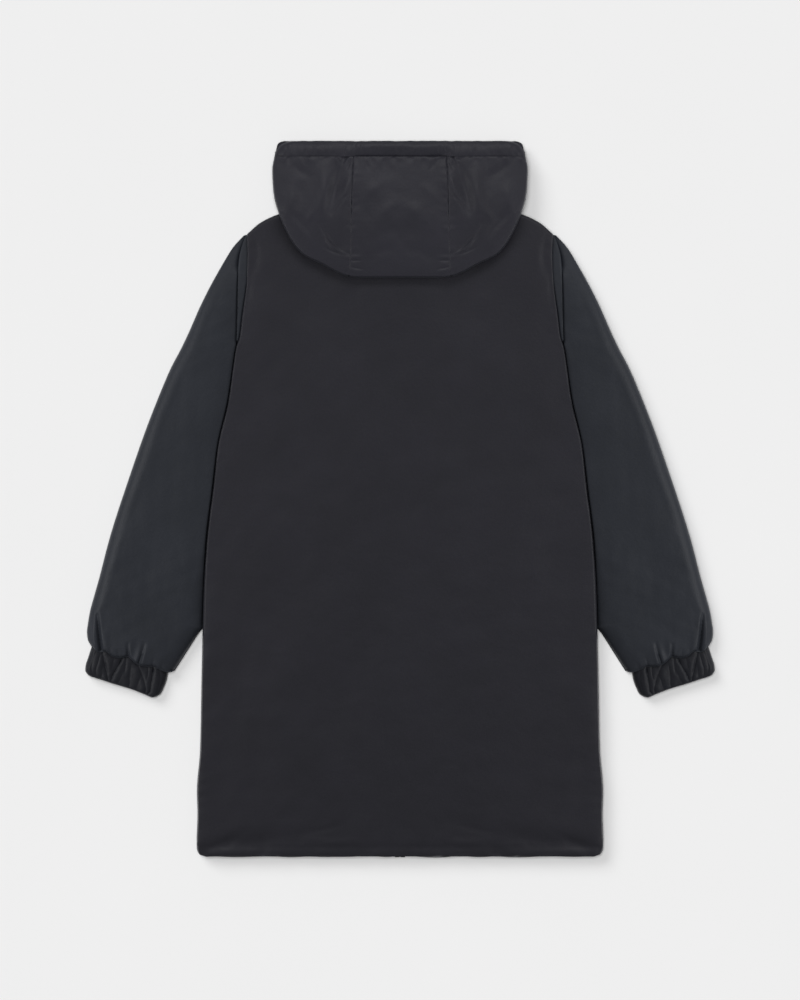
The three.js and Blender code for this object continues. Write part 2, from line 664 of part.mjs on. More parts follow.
// The part of a side panel that is undermost, from the neck seam to the casing of the face edge.
function hoodSideLower(side) {
  const seam = frontColumns.map((at) => [frontTop.x(at), frontTop.y(at)]);
  const under = movedLeft(
    seam.filter(([x]) => x <= HOOD_OVER_SHOULDER),
    GAP,
  );
  under[0] = [ZIP_HALF, under[0][1]];
  const outline = outlinePoints.filter(({ y }) => y > 402.5).map(({ x, y }) => [x, y]);
  const endX = CASING_OUTLINE[1].half;
  const casingEnd = [endX, faceY(endX, casingDrop + 2 * GAP)];
  const flat = [...under, ...outline, casingEnd, [ZIP_HALF, faceY(ZIP_HALF, casingDrop + 2 * GAP)]];
  const inner = outline.map(([x, y]) => [x - HOOD_SKIRT + 1, y]).reverse();
  const onSide = (points) => points.map(([x, y]) => [side * x, y]);
  const rim = plate(onSide([...outline, ...inner]), 2, FRONT_WALL + SEAM_EDGE + 3);
  return joined(plate(onSide(flat), 0, FRONT_WALL - GAP), rim);
}

function hoodSide(side) {
  return cut(joined(hoodSideUpper(side), hoodSideLower(side)), backRoom());
}

// The casing's upper run across the hood and its two lower runs beside the face opening.
function hoodCasing() {
  const half = curveThrough(CASING_OUTLINE, "y", "half");
  const upper = wall({
    across: crowded(26).map((crowd, i) => crowd + i / 26 - 1),
    along: CASING_OUTLINE.map((row) => row.y),
    plan: (s, y) => [s * half(y), y],
    high: (x, y, s) => {
      const down = Math.min(fromOutline(x, Math.min(y, 479)), half(y) - Math.abs(x));
      const full = roundUp(HOOD_ROUND, Math.max(0, down), FACE_CORNER.y - y + 2);
      const pucker = CASING_PUCKER * Math.sin(s * 29 + 2 * Math.sin(s * 11)) * full;
      return lerp(FRONT_WALL + SEAM_EDGE + HOOD_RIM + 3, HOOD_LIP + HOOD_WALL, full) + pucker;
    },
    low: () => FRONT_WALL + SEAM_EDGE + 2,
  });
  const run = [
    [ZIP_HALF, faceY(ZIP_HALF, 0)],
    [ZIP_HALF, faceY(ZIP_HALF, casingDrop)],
    [175.4, faceY(175.4, casingDrop)],
    [171, 495.6],
    [FACE_CORNER.x, FACE_CORNER.y - 0.4],
  ];
  const corner = [
    [152, 484],
    [173, 484],
    [170, 494],
    [163, 498.5],
    [156, 494.5],
  ];
  const mirrored = (points) => points.map(([x, y]) => [-x, y]);
  const pieces = [run, mirrored(run)].map((points) => plate(points, 0, FRONT_WALL));
  const corners = [corner, mirrored(corner)].map((points) => plate(points, 2, FRONT_WALL + SEAM_EDGE + 4));
  return joined(upper, ...pieces, ...corners);
}

// The layers that the folded hood hides share one rounded solid, which sags into the face opening.
function hoodLayers() {
  const half = curveThrough(HOOD_OUTLINE.slice(1), "y", "x");
  const stackRows = [328, 333, 341, 354, 372, 392, 410, 426, 442, 459, 477];
  const stack = wall({
    across: [-1, -0.97, -0.92, -0.84, -0.7, -0.4, 0, 0.4, 0.7, 0.84, 0.92, 0.97, 1],
    along: stackRows,
    plan: (s, y) => {
      const inset = lerp(STACK_INSET.fold, STACK_INSET.side, smoothstep(y, stackRows[0], stackRows[0] + 37));
      return [s * (half(y) - inset), y];
    },
    high: (x, y) => stackHeight(x, y) - 4 * GAP,
    low: () => FRONT_WALL + 2 * GAP,
  });
  const sag = [
    [-55, 415],
    [55, 415],
    [125, 475],
    [-125, 475],
  ];
  return cut(joined(stack, plate(sag, 2.5, FRONT_WALL + 3)), backRoom());
}

// One side of the closed zip: its tape, with the row of teeth along the inner edge.
function zipSide(side) {
  const { inner, outer, low, high } = TEETH;
  const section = [
    [inner, low],
    [outer, low],
    [outer, TAPE.low],
    [TAPE.outer, TAPE.low],
    [TAPE.outer, TAPE.high],
    [outer, TAPE.high],
    [outer, high],
    [inner, high],
  ];
  const onSide = section.map(([x, z]) => [side * x, z]);
  return barAlongY(onSide, HEM_Y - ZIP_PEEK, ZIP_TOP_Y);
}

function boxBetween([ax, ay, az], [bx, by, bz]) {
  const box = new THREE.BoxGeometry(bx - ax, by - ay, bz - az);
  return box.translate((ax + bx) / 2, (ay + by) / 2, (az + bz) / 2);
}

function rodAlongX(radius, halfLong, y, z, sides) {
  const rod = new THREE.CylinderGeometry(radius, radius, 2 * halfLong, sides);
  return rod.rotateZ(Math.PI / 2).translate(0, y, z);
}

function zipSlider() {
  const { front: nose, back: tail, half, nose: noseHalf, low, high, channelEnd } = SLIDER;
  const outline = [
    [-noseHalf, nose],
    [noseHalf, nose],
    [half, nose + 6],
    [half, tail - 2],
    [noseHalf, tail],
    [-noseHalf, tail],
    [-half, tail - 2],
    [-half, nose + 6],
  ];
  const teethWay = boxBetween(
    [-TEETH.outer - GAP, nose - 1, TEETH.low - GAP],
    [TEETH.outer + GAP, channelEnd, TEETH.high + GAP],
  );
  const tapeWay = boxBetween([-ZIP_HALF, nose - 1, TAPE.low - GAP], [ZIP_HALF, channelEnd, TAPE.high + GAP]);
  const ears = [-1, 1].map((side) => {
    const xs = [side * EAR.inner, side * EAR.outer].sort((a, b) => a - b);
    return boxBetween([xs[0], PULL.pinY - 2, PULL.pinZ - 1], [xs[1], PULL.pinY + 2, low + 0.2]);
  });
  const pin = rodAlongX(PULL.pinR, EAR.outer - 0.2, PULL.pinY, PULL.pinZ, 10);
  return joined(cut(plate(outline, low, high), teethWay, tapeWay), ...ears, pin);
}

function zipPull() {
  const eye = rodAlongX(PULL.eyeR, EYE_HALF, PULL.pinY, PULL.pinZ, 18);
  const bore = rodAlongX(PULL.boreR, EYE_HALF + 1, PULL.pinY, PULL.pinZ, 18);
  const low = PULL.pinZ - PULL.thick / 2;
  const neckEnd = PULL.pinY - 3.6;
  const neck = boxBetween([-EYE_HALF, neckEnd - 1, low], [EYE_HALF, PULL.pinY - 1.1, low + PULL.thick]);
  const half = PULL.width / 2;
  const tip = PULL.pinY - PULL.length;
  const tab = [
    [-half, neckEnd],
    [-half, tip + half],
    [-half * 0.7, tip + half * 0.3],
    [0, tip],
    [half * 0.7, tip + half * 0.3],
    [half, tip + half],
    [half, neckEnd],
  ];
  return cut(joined(eye, neck, plate(tab, low, low + PULL.thick)), bore);
}

const shell = { color: 0x2f2f32, roughness: 0.72, metalness: 0 };
const sleeveShell = { color: 0x313437, roughness: 0.72, metalness: 0 };
const hoodShell = { color: 0x36373a, roughness: 0.72, metalness: 0 };
const ribbing = { color: 0x2b2c2f, roughness: 0.85, metalness: 0 };
const zipTape = { color: 0x1b1b1d, roughness: 0.6, metalness: 0 };
const zipMetal = { color: 0x232326, roughness: 0.35, metalness: 0.6 };

const pieces = [
  ["back", back(), shell],
  ["front_left", front(-1), shell],
  ["front_right", front(1), shell],
  ["sleeve_left", sleeve(-1), sleeveShell],
  ["sleeve_right", sleeve(1), sleeveShell],
  ["cuff_left", cuff(-1), ribbing],
  ["cuff_right", cuff(1), ribbing],
  ["hood_centre", hoodCentre(), hoodShell],
  ["hood_side_left", hoodSide(-1), hoodShell],
  ["hood_side_right", hoodSide(1), hoodShell],
  ["hood_casing", hoodCasing(), hoodShell],
  ["hood_layers", hoodLayers(), hoodShell],
  ["zip_left", zipSide(-1), zipTape],
  ["zip_right", zipSide(1), zipTape],
  ["zip_slider", zipSlider(), zipMetal],
  ["zip_pull", zipPull(), zipMetal],
];

const parka = new THREE.Group();
for (const [name, geometry, finish] of pieces) {
  const mesh = new THREE.Mesh(geometry, new THREE.MeshStandardMaterial(finish));
  mesh.name = name;
  parka.add(mesh);
}

export default parka;
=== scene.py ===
# A padded, hooded parka laid flat on its front, with its back and hood uppermost.
# Lengths in the tables are millimetres, in the frame's own axes: +X right, +Y towards the hood, +Z up.
# The garment is the same on both sides, so most tables hold one side, as distances from the middle line.

from itertools import product
from math import cos, hypot, pi, radians, sin

import bpy
import numpy as np
from bpy.props import FloatProperty, FloatVectorProperty, PointerProperty
from bpy.types import Operator, Panel, PropertyGroup
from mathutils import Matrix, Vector


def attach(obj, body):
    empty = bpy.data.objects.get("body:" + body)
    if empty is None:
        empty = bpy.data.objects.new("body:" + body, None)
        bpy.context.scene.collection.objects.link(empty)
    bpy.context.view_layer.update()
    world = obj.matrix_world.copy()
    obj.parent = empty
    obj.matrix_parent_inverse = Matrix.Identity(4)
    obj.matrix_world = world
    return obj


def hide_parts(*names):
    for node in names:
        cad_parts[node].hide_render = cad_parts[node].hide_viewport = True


bl_info = {
    "name": "Flat-laid parka",
    "version": (1, 0, 0),
    "blender": (4, 5, 0),
    "location": "View3D > Sidebar > Parka",
    "description": "Builds a padded parka that lies on its front, round its packed solids",
    "category": "Add Mesh",
}

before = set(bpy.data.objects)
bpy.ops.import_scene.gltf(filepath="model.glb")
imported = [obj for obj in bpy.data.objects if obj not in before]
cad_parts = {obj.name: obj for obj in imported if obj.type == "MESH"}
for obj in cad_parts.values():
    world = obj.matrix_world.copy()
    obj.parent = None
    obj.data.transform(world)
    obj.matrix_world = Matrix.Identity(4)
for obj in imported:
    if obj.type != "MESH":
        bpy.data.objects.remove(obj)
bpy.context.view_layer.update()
MM = 0.001
SIDES = ((-1, "left"), (1, "right"))
COAT = "coat"
PULL = "pull_tab"


def linear(code):
    """An sRGB hex colour as linear red, green and blue."""
    parts = [int(code[i : i + 2], 16) / 255 for i in (1, 3, 5)]
    return tuple(c / 12.92 if c <= 0.04045 else ((c + 0.055) / 1.055) ** 2.4 for c in parts)


def table(text):
    """A table of numbers, whose first line names its columns, as one array for each of them."""
    names, *rows = [line.split() for line in text.strip().splitlines()]
    return dict(zip(names, np.array(rows, float).T))


# Half width of the back, from the hem up the side and then up the armhole seam.
BODY_EDGE = table("""
    y half
    -500.6 272
    -497 281
    -488 284.5
    -474.6 284.6
    -462 284.1
    -440 283.5
    -410 284.3
    -350 279.8
    -240 277.6
    -140 275
    -65 271.5
    12 262.3
    75 254.6
    139 240.2
    179 234.4
    212 229.4
    226 224.6
    257 220.8
    307 214.3
    347 213.2
    369 214.3
""")

# Half width of the closed fronts, which give way to the tucked part of each sleeve above the elbow.
FRONT_EDGE = table("""
    y half
    -500.6 270
    -497 280
    -488 283.5
    -440 282.5
    -410 283.3
    -350 278.8
    -240 276.6
    -200 276
    -184 272
    -141 249
    -65 244
    12 234
    75 224
    120 213
    160 205
    200 200.5
    257 200.5
    307 205
    347 210
    369 213.5
""")

# The armhole pleat: the fold that its sleeve side ends on.
PLEAT_FOLD = table("""
    y half
    212 230.2
    240 229.2
    297 228.3
    336 225.7
    361 219.2
    369 215.4
""")

# Where each section of a sleeve crosses its inner edge, the back's edge and its outer edge, and how full.
SLEEVE_SECTIONS = table("""
    inner edge outer outer_x full
    369.2 369.6 368.8 218.6 0.1
    350 352 353.2 233 0.3
    326 329 325.4 250.2 0.55
    296 300 298.6 265.2 0.75
    262 268 268.7 280.1 0.88
    230 236 234.4 295.1 0.95
    214 219 219 302.3 0.97
    205 209 207.5 308 0.98
    170 172 184.5 320.2 1
    95 97 111.4 350.4 1
    18 20 32.5 378.3 1
    -62 -62 -53.3 406.1 1
    -112 -114 -112 421.4 0.98
    -141 -146 -134.5 427.8 0.95
    -163 -170 -157.1 433.9 0.92
    -186 -188 -173.2 436.7 0.9
    -207 -208 -186 438.2 0.88
    -225 -225.5 -196 437.2 0.84
    -236 -236 -202 434.6 0.76
    -240.2 -240.1 -206.1 431.8 0.6
""")

# The free underarm edge of a sleeve, from the cuff up to where it goes under the back.
SLEEVE_INNER = table("""
    y half
    -240.2 315.3
    -223.7 304.8
    -192.4 284.8
    -178.8 276
    -160 263.4
    -141 250.4
""")

# The seam of a sleeve to its cuff, which the gathers pull into scallops, as shares of its length.
CUFF_SEAM = table("""
    share x y
    0 315.3 -240.4
    0.06 323.3 -242.6
    0.16 338 -238.4
    0.24 346 -234.6
    0.33 356 -234.6
    0.42 366.5 -232.4
    0.48 373.4 -227.4
    0.55 381 -221.2
    0.64 391 -222.8
    0.73 401 -221
    0.83 413.2 -213.6
    0.9 421 -214.6
    0.95 426.6 -211.8
    1 431.8 -206.2
""")

# The sides of a cuff from its seam to its end, and the line of its end.
CUFF_INNER_SIDE = table("""
    t x y
    0 324.7 -243.0
    0.25 326.5 -252.7
    0.55 330.5 -263.9
    0.85 335.6 -273.4
    1 341.5 -277
""")
CUFF_OUTER_SIDE = table("""
    t x y
    0 431.7 -206.6
    0.35 437 -223
    0.7 440.3 -233.4
    0.9 440.8 -240.4
    1 437 -246.4
""")
CUFF_END = table("""
    share x y
    0 341.5 -277
    0.06 347 -277.8
    0.12 353.4 -275.2
    0.36 376.3 -266.3
    0.65 403.6 -258
    0.8 418.2 -253.1
    0.94 432.6 -248.6
    1 437 -246.4
""")

# Gathers of a cuff: place across it at the seam and at the end, how far they reach, depth and width in mm.
GATHERS = table("""
    seam end start stop depth width
    0.03 0.02 0 0.7 1.2 1.2
    0.085 0.04 0 0.8 2.0 1.3
    0.165 0.135 0 1 4.6 1.3
    0.25 0.2 0 0.45 1.8 1.2
    0.37 0.15 0 1 3.6 1.3
    0.3 0.31 0.35 1 1.3 1.6
    0.46 0.4 0.15 0.95 2.2 1.4
    0.53 0.5 0 0.55 1.9 1.3
    0.6 0.655 0 1 4.6 1.3
    0.5 0.56 0.45 1 1.2 1.6
    0.7 0.69 0 0.45 1.3 1.6
    0.84 0.67 0 1 4.8 1.3
    0.8 0.78 0.45 1 1.4 1.6
    0.885 0.83 0.1 0.9 2.6 1.3
    0.935 0.9 0 0.8 2.2 1.3
    0.972 0.955 0 1 1.8 1.2
""")

# Folds of a sleeve, in the same columns as the hood's creases. Those at the cuff start just past its seam.
SLEEVE_CREASES = table("""
    x0 y0 x1 y1 bow width depth
    412.6 -230 423.5 -162 -1.5 2.3 6.4
    422 -222 430.5 -172 -1 3.4 -1.6
    408 -226 412 -186 0 4.2 -1.1
    402 -232 405 -206 0.5 2.2 1.7
    390.5 -233 394 -208 0 2.2 1.4
    378 -242 380 -203 0.6 2.3 3.6
    371.5 -244 357 -201 1.5 2.3 4.4
    376 -226 368 -205 0 6 2.2
    346.5 -246 343 -222 0 2.2 1.7
    334 -250 329 -228 0 2.4 1.4
    322 -250 316 -232 0 2.6 1.1
    398 -60 372 20 4 16 0.8
    340 -150 352 -60 -6 20 0.7
    330 120 300 200 3 14 0.8
    268 250 250 306 1 8 0.9
""")

# The top edge of the back and of the fronts, from the centre out to the shoulder tip.
BACK_TOP = table("""
    at x y
    0 0 396
    0.22 47 400
    0.42 90 411
    0.6 128 407.5
    0.78 168 399
    0.9 194 387.4
    1 214.3 370.4
""")
FRONT_TOP = table("""
    at x y
    0 7.5 301
    0.14 34 306
    0.26 60 323
    0.36 79 357
    0.44 91 408
    0.6 128 406
    0.78 168 397.5
    0.9 194 385.5
    1 213.5 369
""")

# The hood's outline, from the middle of its lower fold round to the end of the casing.
HOOD_OUTLINE = table("""
    at x y
    0 0 309.4
    0.18 61.6 309.4
    0.22 74 311.5
    0.27 88.2 317.1
    0.34 109.6 328.6
    0.42 133.7 340.5
    0.47 147.1 353.8
    0.55 160.4 376.6
    0.63 169.8 399.3
    0.72 176.4 423.5
    0.79 178.2 442.3
    0.86 178.8 461
    0.93 175.9 479
""")
CASING_OUTLINE = table("""
    y half
    479.3 175.7
    484 174.8
    490 173
    496 171.4
    499.5 167.8
    501.2 161.5
""")

# Creases of one half of the hood: ends, bow, half width and depth in mm. A negative depth is a ridge.
HOOD_CREASES = table("""
    x0 y0 x1 y1 bow width depth
    83 474 61 489 1 1.8 3.0
    81 469 67 485 -1 1.8 2.4
    74 462 68 480 1 2.2 2.0
    80 471 99 404 1 7 4.2
    106 464 112 396 -1.5 9.5 -3.8
    66 450 82 398 1 8 -2.6
    66 430 96 398 3 2 1.6
    70 452 78 424 1 4 -1.5
    118 410 132 388 -2 5 -1.4
    114 387 69 342 6.3 1.7 1.9
    112 381 72 338 6.3 2.8 -0.8
    107 352 70 340 2 1.6 1.2
    104 366 88 348 2 2.4 -1.2
    70 338.6 54 338 0.5 2.6 -0.8
    70 334 54 333.5 0.5 1.6 1.3
    70 321 54 317 0.5 2.6 -0.7
    74 326 52 321 0.5 1.6 1.3
    120 360 154 400 4 6 1.5
    150 470 128 452 2 6 1.4
    150 440 158 400 -3 8 -1.6
    58 486 40 479 1 2.2 1.4
    50 478 44 462 1 3.2 1.2
    28 480 22 466 -1 3.4 0.9
    8 414 26 392 2 8 -1.3
    30 440 48 420 2 7 -1.0
    10 350 44 336 3 8 1.1
    0 376 30 366 3 10 0.9
""")

# Soft troughs of one half of the back, in the same columns.
BACK_CREASES = table("""
    x0 y0 x1 y1 bow width depth
    278 -490 222 -470 3 7 2.7
    256 -485 184 -481 -1 7 1.7
    264 -483 112 -472 -2 13 2.8
    150 -474 76 -478 1 4 -0.7
    110 -482 66 -478 1 4 -1.2
    130 -466 82 -456 1 3 1.3
    60 -371 84 -372 1 2.6 0.9
    206 372 203 318 -3 6 1.5
    205 330 214 262 2 5 1.0
    60 -489 10 -486 1 7 1.1
    150 -498 120 -488 0 6 0.8
    120 -455 40 -446 4 12 0.7
    250 -430 262 -360 3 14 0.7
    180 300 120 262 6 22 0.8
    240 -120 200 -40 8 24 0.7
""")

# Creases of one half of the casing, in the same columns as the hood's.
CASING_CREASES = table("""
    x0 y0 x1 y1 bow width depth
    70 480 62 498 1 1.5 1.2
    78 481 76 495 -1 1.8 0.9
    54 480 58 496 1 1.8 0.8
    30 482 26 497 0 2.2 0.6
    104 480 108 494 1 2.4 0.6
    134 482 130 496 1 2.2 0.6
    162 480 158 492 1 2.4 0.7
""")

# Creases that are narrower than this come to an edge at the bottom.
SHARP_CREASE = 2.3

# The zip: its lower and upper end, the slider's two ends, and the place of the pin that holds the pull tab.
# A tooth is two boxes: how far each is from the zip's line, and half its length, width and height.
ZIP_LOW_Y = -501.6
ZIP_TOP_Y = 346.0
TOOTH_PITCH = 2.8
TOOTH_BOXES = ((2.05, 0.75, 0.95, 1.3), (0.3, 1.15, 0.52, 1.05))
SLIDER_ENDS = (338.0, 353.0)
PIN_PLACE = (341.0, 2.2)
STITCH_PITCH = 3.4

# Lights: the way to each one, the angle that it fills in degrees, its strength, and what it lights.
# The board's lights give it one soft shadow, to the right and below.
LIGHTS = [
    ("board overhead", (-0.05, 0.05, 1), 24, 1.97, "board"),
    ("board key", (-0.6, 0.6, 0.75), 34, 1.2, "board"),
]

# A pale dome over the garment, as rings of soft lights: height in degrees, how many, and their strength.
DOME_RINGS = ((25, 6, 0.08), (58, 5, 0.08))

# Soft boxes round the garment: place, width and length in metres, and power. Each half of it is lit mostly
# from its own side, and the hood and hem a little from above the hood. A side box doesn't light the sleeve
# and cuff of its far side.
SOFT_BOXES = [
    ("left box", (-1.1, 0.05, 0.82), (1.3, 0.5), 6.6),
    ("right box", (1.1, 0.05, 0.82), (1.3, 0.5), 6.6),
    ("top box", (0, 1.6, 1.5), (1.5, 0.6), 11.6),
]

FAR_SIDES = {"left box": "right", "right box": "left"}

# Levels above the floor.
FRONT_TOP_Z = 10.0
BACK_LOW_Z = 10.3
TUCK_TOP = 9.6
PLEAT_TOP = 19.0
SLEEVE_RIM = 12.5
SLEEVE_FOOT = 18.2
DOME = 27.0
CUFF_TOP = 17.5
HOOD_STACK = 34.0
HOOD_LIP = 21.0

# Thicknesses of the back and the hood, the wall that is left at a seam, and the gaps beside it.
BACK_THICK = 12.0
HOOD_THICK = 7.0
SEAM_EDGE = 1.6
SEAM_GAP = 0.15
SEAM_SLIT = 0.08

# Places on the body, the cuffs, the hood and its face opening.
HEM_Y = -500.6
HEM_STITCH = 13.0
SHOULDER = (214.3, 370.4)
ZIP_HALF = 7.5
CUFF_SEAM_ENDS = ((315.3, -240.3), (431.8, -206.1))
CUFF_WIDE = 112.0
CUFF_DEEP = 38.0
SLIT_HALF = 0.35
HOOD_FOLD_Y = 309.4
HOOD_SKIRT = 6.0
HOOD_SEAM = ((65.4, 478.6), (70.6, 311.0))
CASING_Y = 479.0
CASING_RUN = 20.0
CHIN = (0.0, 366.0)
FACE_CORNER = (163.0, 501.0)

# Places along a sleeve: the y where a change starts, and the y where it is complete.
PLEAT_STARTS = (213, 222)
SLEEVE_HEAD = (312, 330)
GOES_UNDER_BACK = (-186, -178)

# How far from the middle line the hood is drawn in by its casing, and where that has faded out.
DRAWN_IN = (56, 74)

# The stage in metres: half the floor's width, and the middle of the picture. The world's light is faint.
FLOOR_HALF = 6.0
PICTURE_MIDDLE = (0, -0.0014, 0.012)
WORLD_STRENGTH = 0.1


def smoothstep(value, low, high):
    """Goes softly from 0 at `low` to 1 at `high`."""
    t = np.clip((value - low) / (high - low), 0, 1)
    return t * t * (3 - 2 * t)


def mix(a, b, share):
    """The value that lies `share` of the way from `a` to `b`."""
    return a + (b - a) * share


def curve_through(rows, source, target):
    """A smooth curve through a table's rows that doesn't swing past them."""
    x, y = rows[source], rows[target]
    if x[0] > x[-1]:
        x, y = x[::-1], y[::-1]
    rise = np.diff(y) / np.diff(x)
    slope = np.concatenate([rise[:1], np.zeros(len(rise) - 1), rise[-1:]])
    product = rise[:-1] * rise[1:]
    total = np.where(product > 0, rise[:-1] + rise[1:], 1)
    slope[1:-1] = np.where(product > 0, 2 * product / total, 0)

    def value(at):
        at = np.asarray(at, float)
        i = np.clip(np.searchsorted(x, at, side="right") - 1, 0, len(rise) - 1)
        span = x[i + 1] - x[i]
        t = np.clip((at - x[i]) / span, 0, 1)
        u = 1 - t
        ends = y[i] * u * u * (1 + 2 * t) + y[i + 1] * t * t * (3 - 2 * t)
        return ends + span * (slope[i] * t * u * u - slope[i + 1] * t * t * u)

    return value


def path_along(rows, source, at):
    """The x and y of a table's line at the places `at`, which are in its column `source`."""
    return [curve_through(rows, source, column)(at) for column in "xy"]


body_edge = curve_through(BODY_EDGE, "y", "half")
front_edge = curve_through(FRONT_EDGE, "y", "half")
pleat_fold = curve_through(PLEAT_FOLD, "y", "half")
free_inner = curve_through(SLEEVE_INNER, "y", "half")
back_top_over = curve_through(BACK_TOP, "x", "y")


def round_up(reach, *distances):
    """Rises from 0 at an edge to 1 once every distance is past `reach`, as a quarter round."""
    short = sum(np.clip(1 - np.asarray(d) / reach, 0, 1) ** 2 for d in distances)
    return np.sqrt(np.clip(1 - short, 0, 1))


def hump(off, width):
    """A soft hump along a line: 1 on it, and almost 0 at twice its width."""
    return np.exp(-((off / width) ** 2))


def pinch(off, width):
    """A pinched line: 1 on it, with a sharp edge there, and fading out over about three widths."""
    return np.exp(-np.abs(off) / width)


def swell(x, y, spacing, seed, stretch=(1.0, 1.0), waves=22):
    """Smooth uneven swells of about the given spacing, mostly between -1 and 1."""
    draw = np.random.RandomState(seed)
    total = 0
    for _ in range(waves):
        angle, phase = draw.uniform(0, 2 * pi, 2)
        length = spacing * draw.uniform(0.75, 1.6)
        across = x * np.cos(angle) / stretch[0] + y * np.sin(angle) / stretch[1]
        total = total + np.sin(2 * pi * across / length + phase)
    return total / np.sqrt(waves)


def creases(x, y, rows):
    """Soft troughs along bowed lines, deepest in the middle of each and tapered to its ends."""
    height = 0
    for x0, y0, x1, y1, bow, width, depth in zip(*rows.values()):
        long = hypot(x1 - x0, y1 - y0)
        dx, dy = (x1 - x0) / long, (y1 - y0) / long
        along = ((x - x0) * dx + (y - y0) * dy) / long
        inside = np.clip(along, 0, 1)
        off = (y - y0) * dx - (x - x0) * dy - bow * 4 * inside * (1 - inside)
        past = np.maximum(0, np.maximum(-along, along - 1)) * long
        taper = np.sin(pi * np.clip(0.12 + 0.76 * inside, 0, 1)) * hump(past, width)
        sharp = 1.15 if width < SHARP_CREASE else 2
        across = np.abs(off / width)
        height -= depth * taper * (np.exp(-(across**sharp)) - 0.22 * hump(across, 2.4))
    return height


def spread(count, edge=0.5):
    """Places from 0 to 1, closer together at both ends."""
    even = np.linspace(0, 1, count)
    return mix(even, (1 - np.cos(pi * even)) / 2, edge)


def dome_lights():
    """The dome's lights, in the same columns as LIGHTS."""
    lights = []
    for elevation, count, power in DOME_RINGS:
        for turn in np.linspace(0, 2 * pi, count, endpoint=False) + 0.2:
            level = cos(radians(elevation))
            way = (level * cos(turn), level * sin(turn), sin(radians(elevation)))
            lights.append(("dome", way, 52, power, "garment"))
    return lights


def lit_group(name):
    """The group of objects that one set of lights falls on."""
    return bpy.data.collections.get("lit " + name) or bpy.data.collections.new("lit " + name)


def finish_mesh(name, places, faces, material, sharp=60):
    """An object of the mesh, its faces turned outwards, its places in millimetres."""
    faces = np.asarray(faces)
    corners = places[faces]
    middle = np.cross(corners[:, 2] - corners[:, 0], corners[:, 3] - corners[:, 1])
    if (corners.mean(1) * middle).sum() < 0:
        faces = faces[:, ::-1]
    mesh = bpy.data.meshes.new(name)
    mesh.vertices.add(len(places))
    mesh.vertices.foreach_set("co", (places * MM).astype(np.float32).ravel())
    mesh.loops.add(faces.size)
    mesh.loops.foreach_set("vertex_index", faces.astype(np.int32).ravel())
    mesh.polygons.add(len(faces))
    mesh.polygons.foreach_set("loop_start", np.arange(0, faces.size, 4, dtype=np.int32))
    mesh.update(calc_edges=True)
    mesh.validate()
    mesh.shade_smooth()
    mesh.set_sharp_from_angle(angle=radians(sharp))
    mesh.materials.append(material)
    piece = bpy.data.objects.new(name, mesh)
    bpy.context.scene.collection.objects.link(piece)
    lit_group("garment").objects.link(piece)
    for box, far in FAR_SIDES.items():
        if not name.startswith((f"sleeve_{far}", f"cuff_{far}")):
            lit_group(box).objects.link(piece)
    return piece


def quads(*corners):
    """Four-sided faces from four arrays of corner numbers."""
    return np.stack(corners, -1).reshape(-1, 4)


def wall_mesh(x, y, top, bottom):
    """Places and faces of a closed wall whose two faces share one grid."""
    rows, columns = x.shape
    places = np.concatenate([np.stack([x, y, z], -1).reshape(-1, 3) for z in (top, bottom)])
    at = np.arange(rows * columns).reshape(rows, columns)
    under = at + rows * columns
    faces = [
        quads(at[:-1, :-1], at[:-1, 1:], at[1:, 1:], at[1:, :-1]),
        quads(under[:-1, :-1], under[1:, :-1], under[1:, 1:], under[:-1, 1:]),
        quads(at[0, :-1], under[0, :-1], under[0, 1:], at[0, 1:]),
        quads(at[-1, :-1], at[-1, 1:], under[-1, 1:], under[-1, :-1]),
        quads(at[:-1, 0], at[1:, 0], under[1:, 0], under[:-1, 0]),
        quads(at[:-1, -1], under[:-1, -1], under[1:, -1], at[1:, -1]),
    ]
    return places, np.concatenate(faces)


def tube_mesh(outer, inner):
    """Places and faces of a flattened tube: outer and inner rings (rows, around, 3), joined at both ends."""
    rows, around = outer.shape[:2]
    places = np.concatenate([outer.reshape(-1, 3), inner.reshape(-1, 3)])
    at = np.arange(rows * around).reshape(rows, around)
    within = at + rows * around
    ahead, within_ahead = np.roll(at, -1, 1), np.roll(within, -1, 1)
    faces = [
        quads(at[:-1], ahead[:-1], ahead[1:], at[1:]),
        quads(within[:-1], within[1:], within_ahead[1:], within_ahead[:-1]),
        quads(at[0], within[0], within_ahead[0], ahead[0]),
        quads(at[-1], ahead[-1], within_ahead[-1], within[-1]),
    ]
    return places, np.concatenate(faces)


def body_plan(edge, top, inner_x, s, v):
    """Rows that are level at the hem and bend towards the shoulder and neck line at the top."""
    at = np.abs(s)
    bend = smoothstep(v, 120, SHOULDER[1])
    top_x, top_y = path_along(top, "at", at)
    straight = mix(inner_x, edge(v), at)
    lean = top_x - mix(inner_x, edge(SHOULDER[1]), at)
    return np.sign(s) * (straight + bend * bend * lean), v + bend * (top_y - SHOULDER[1])


def outline_distance(x, y, step=0.006):
    """Distance of each place from the hood's outline."""
    at = np.arange(0, HOOD_OUTLINE["at"][-1] + step / 2, step)
    line = np.stack(path_along(HOOD_OUTLINE, "at", at), -1)
    places = np.stack([np.abs(x), y], -1)[..., None, :]
    start, way = line[:-1], np.diff(line, axis=0)
    share = np.clip(((places - start) * way).sum(-1) / (way**2).sum(-1), 0, 1)
    return np.sqrt(((places - start - share[..., None] * way) ** 2).sum(-1)).min(-1)


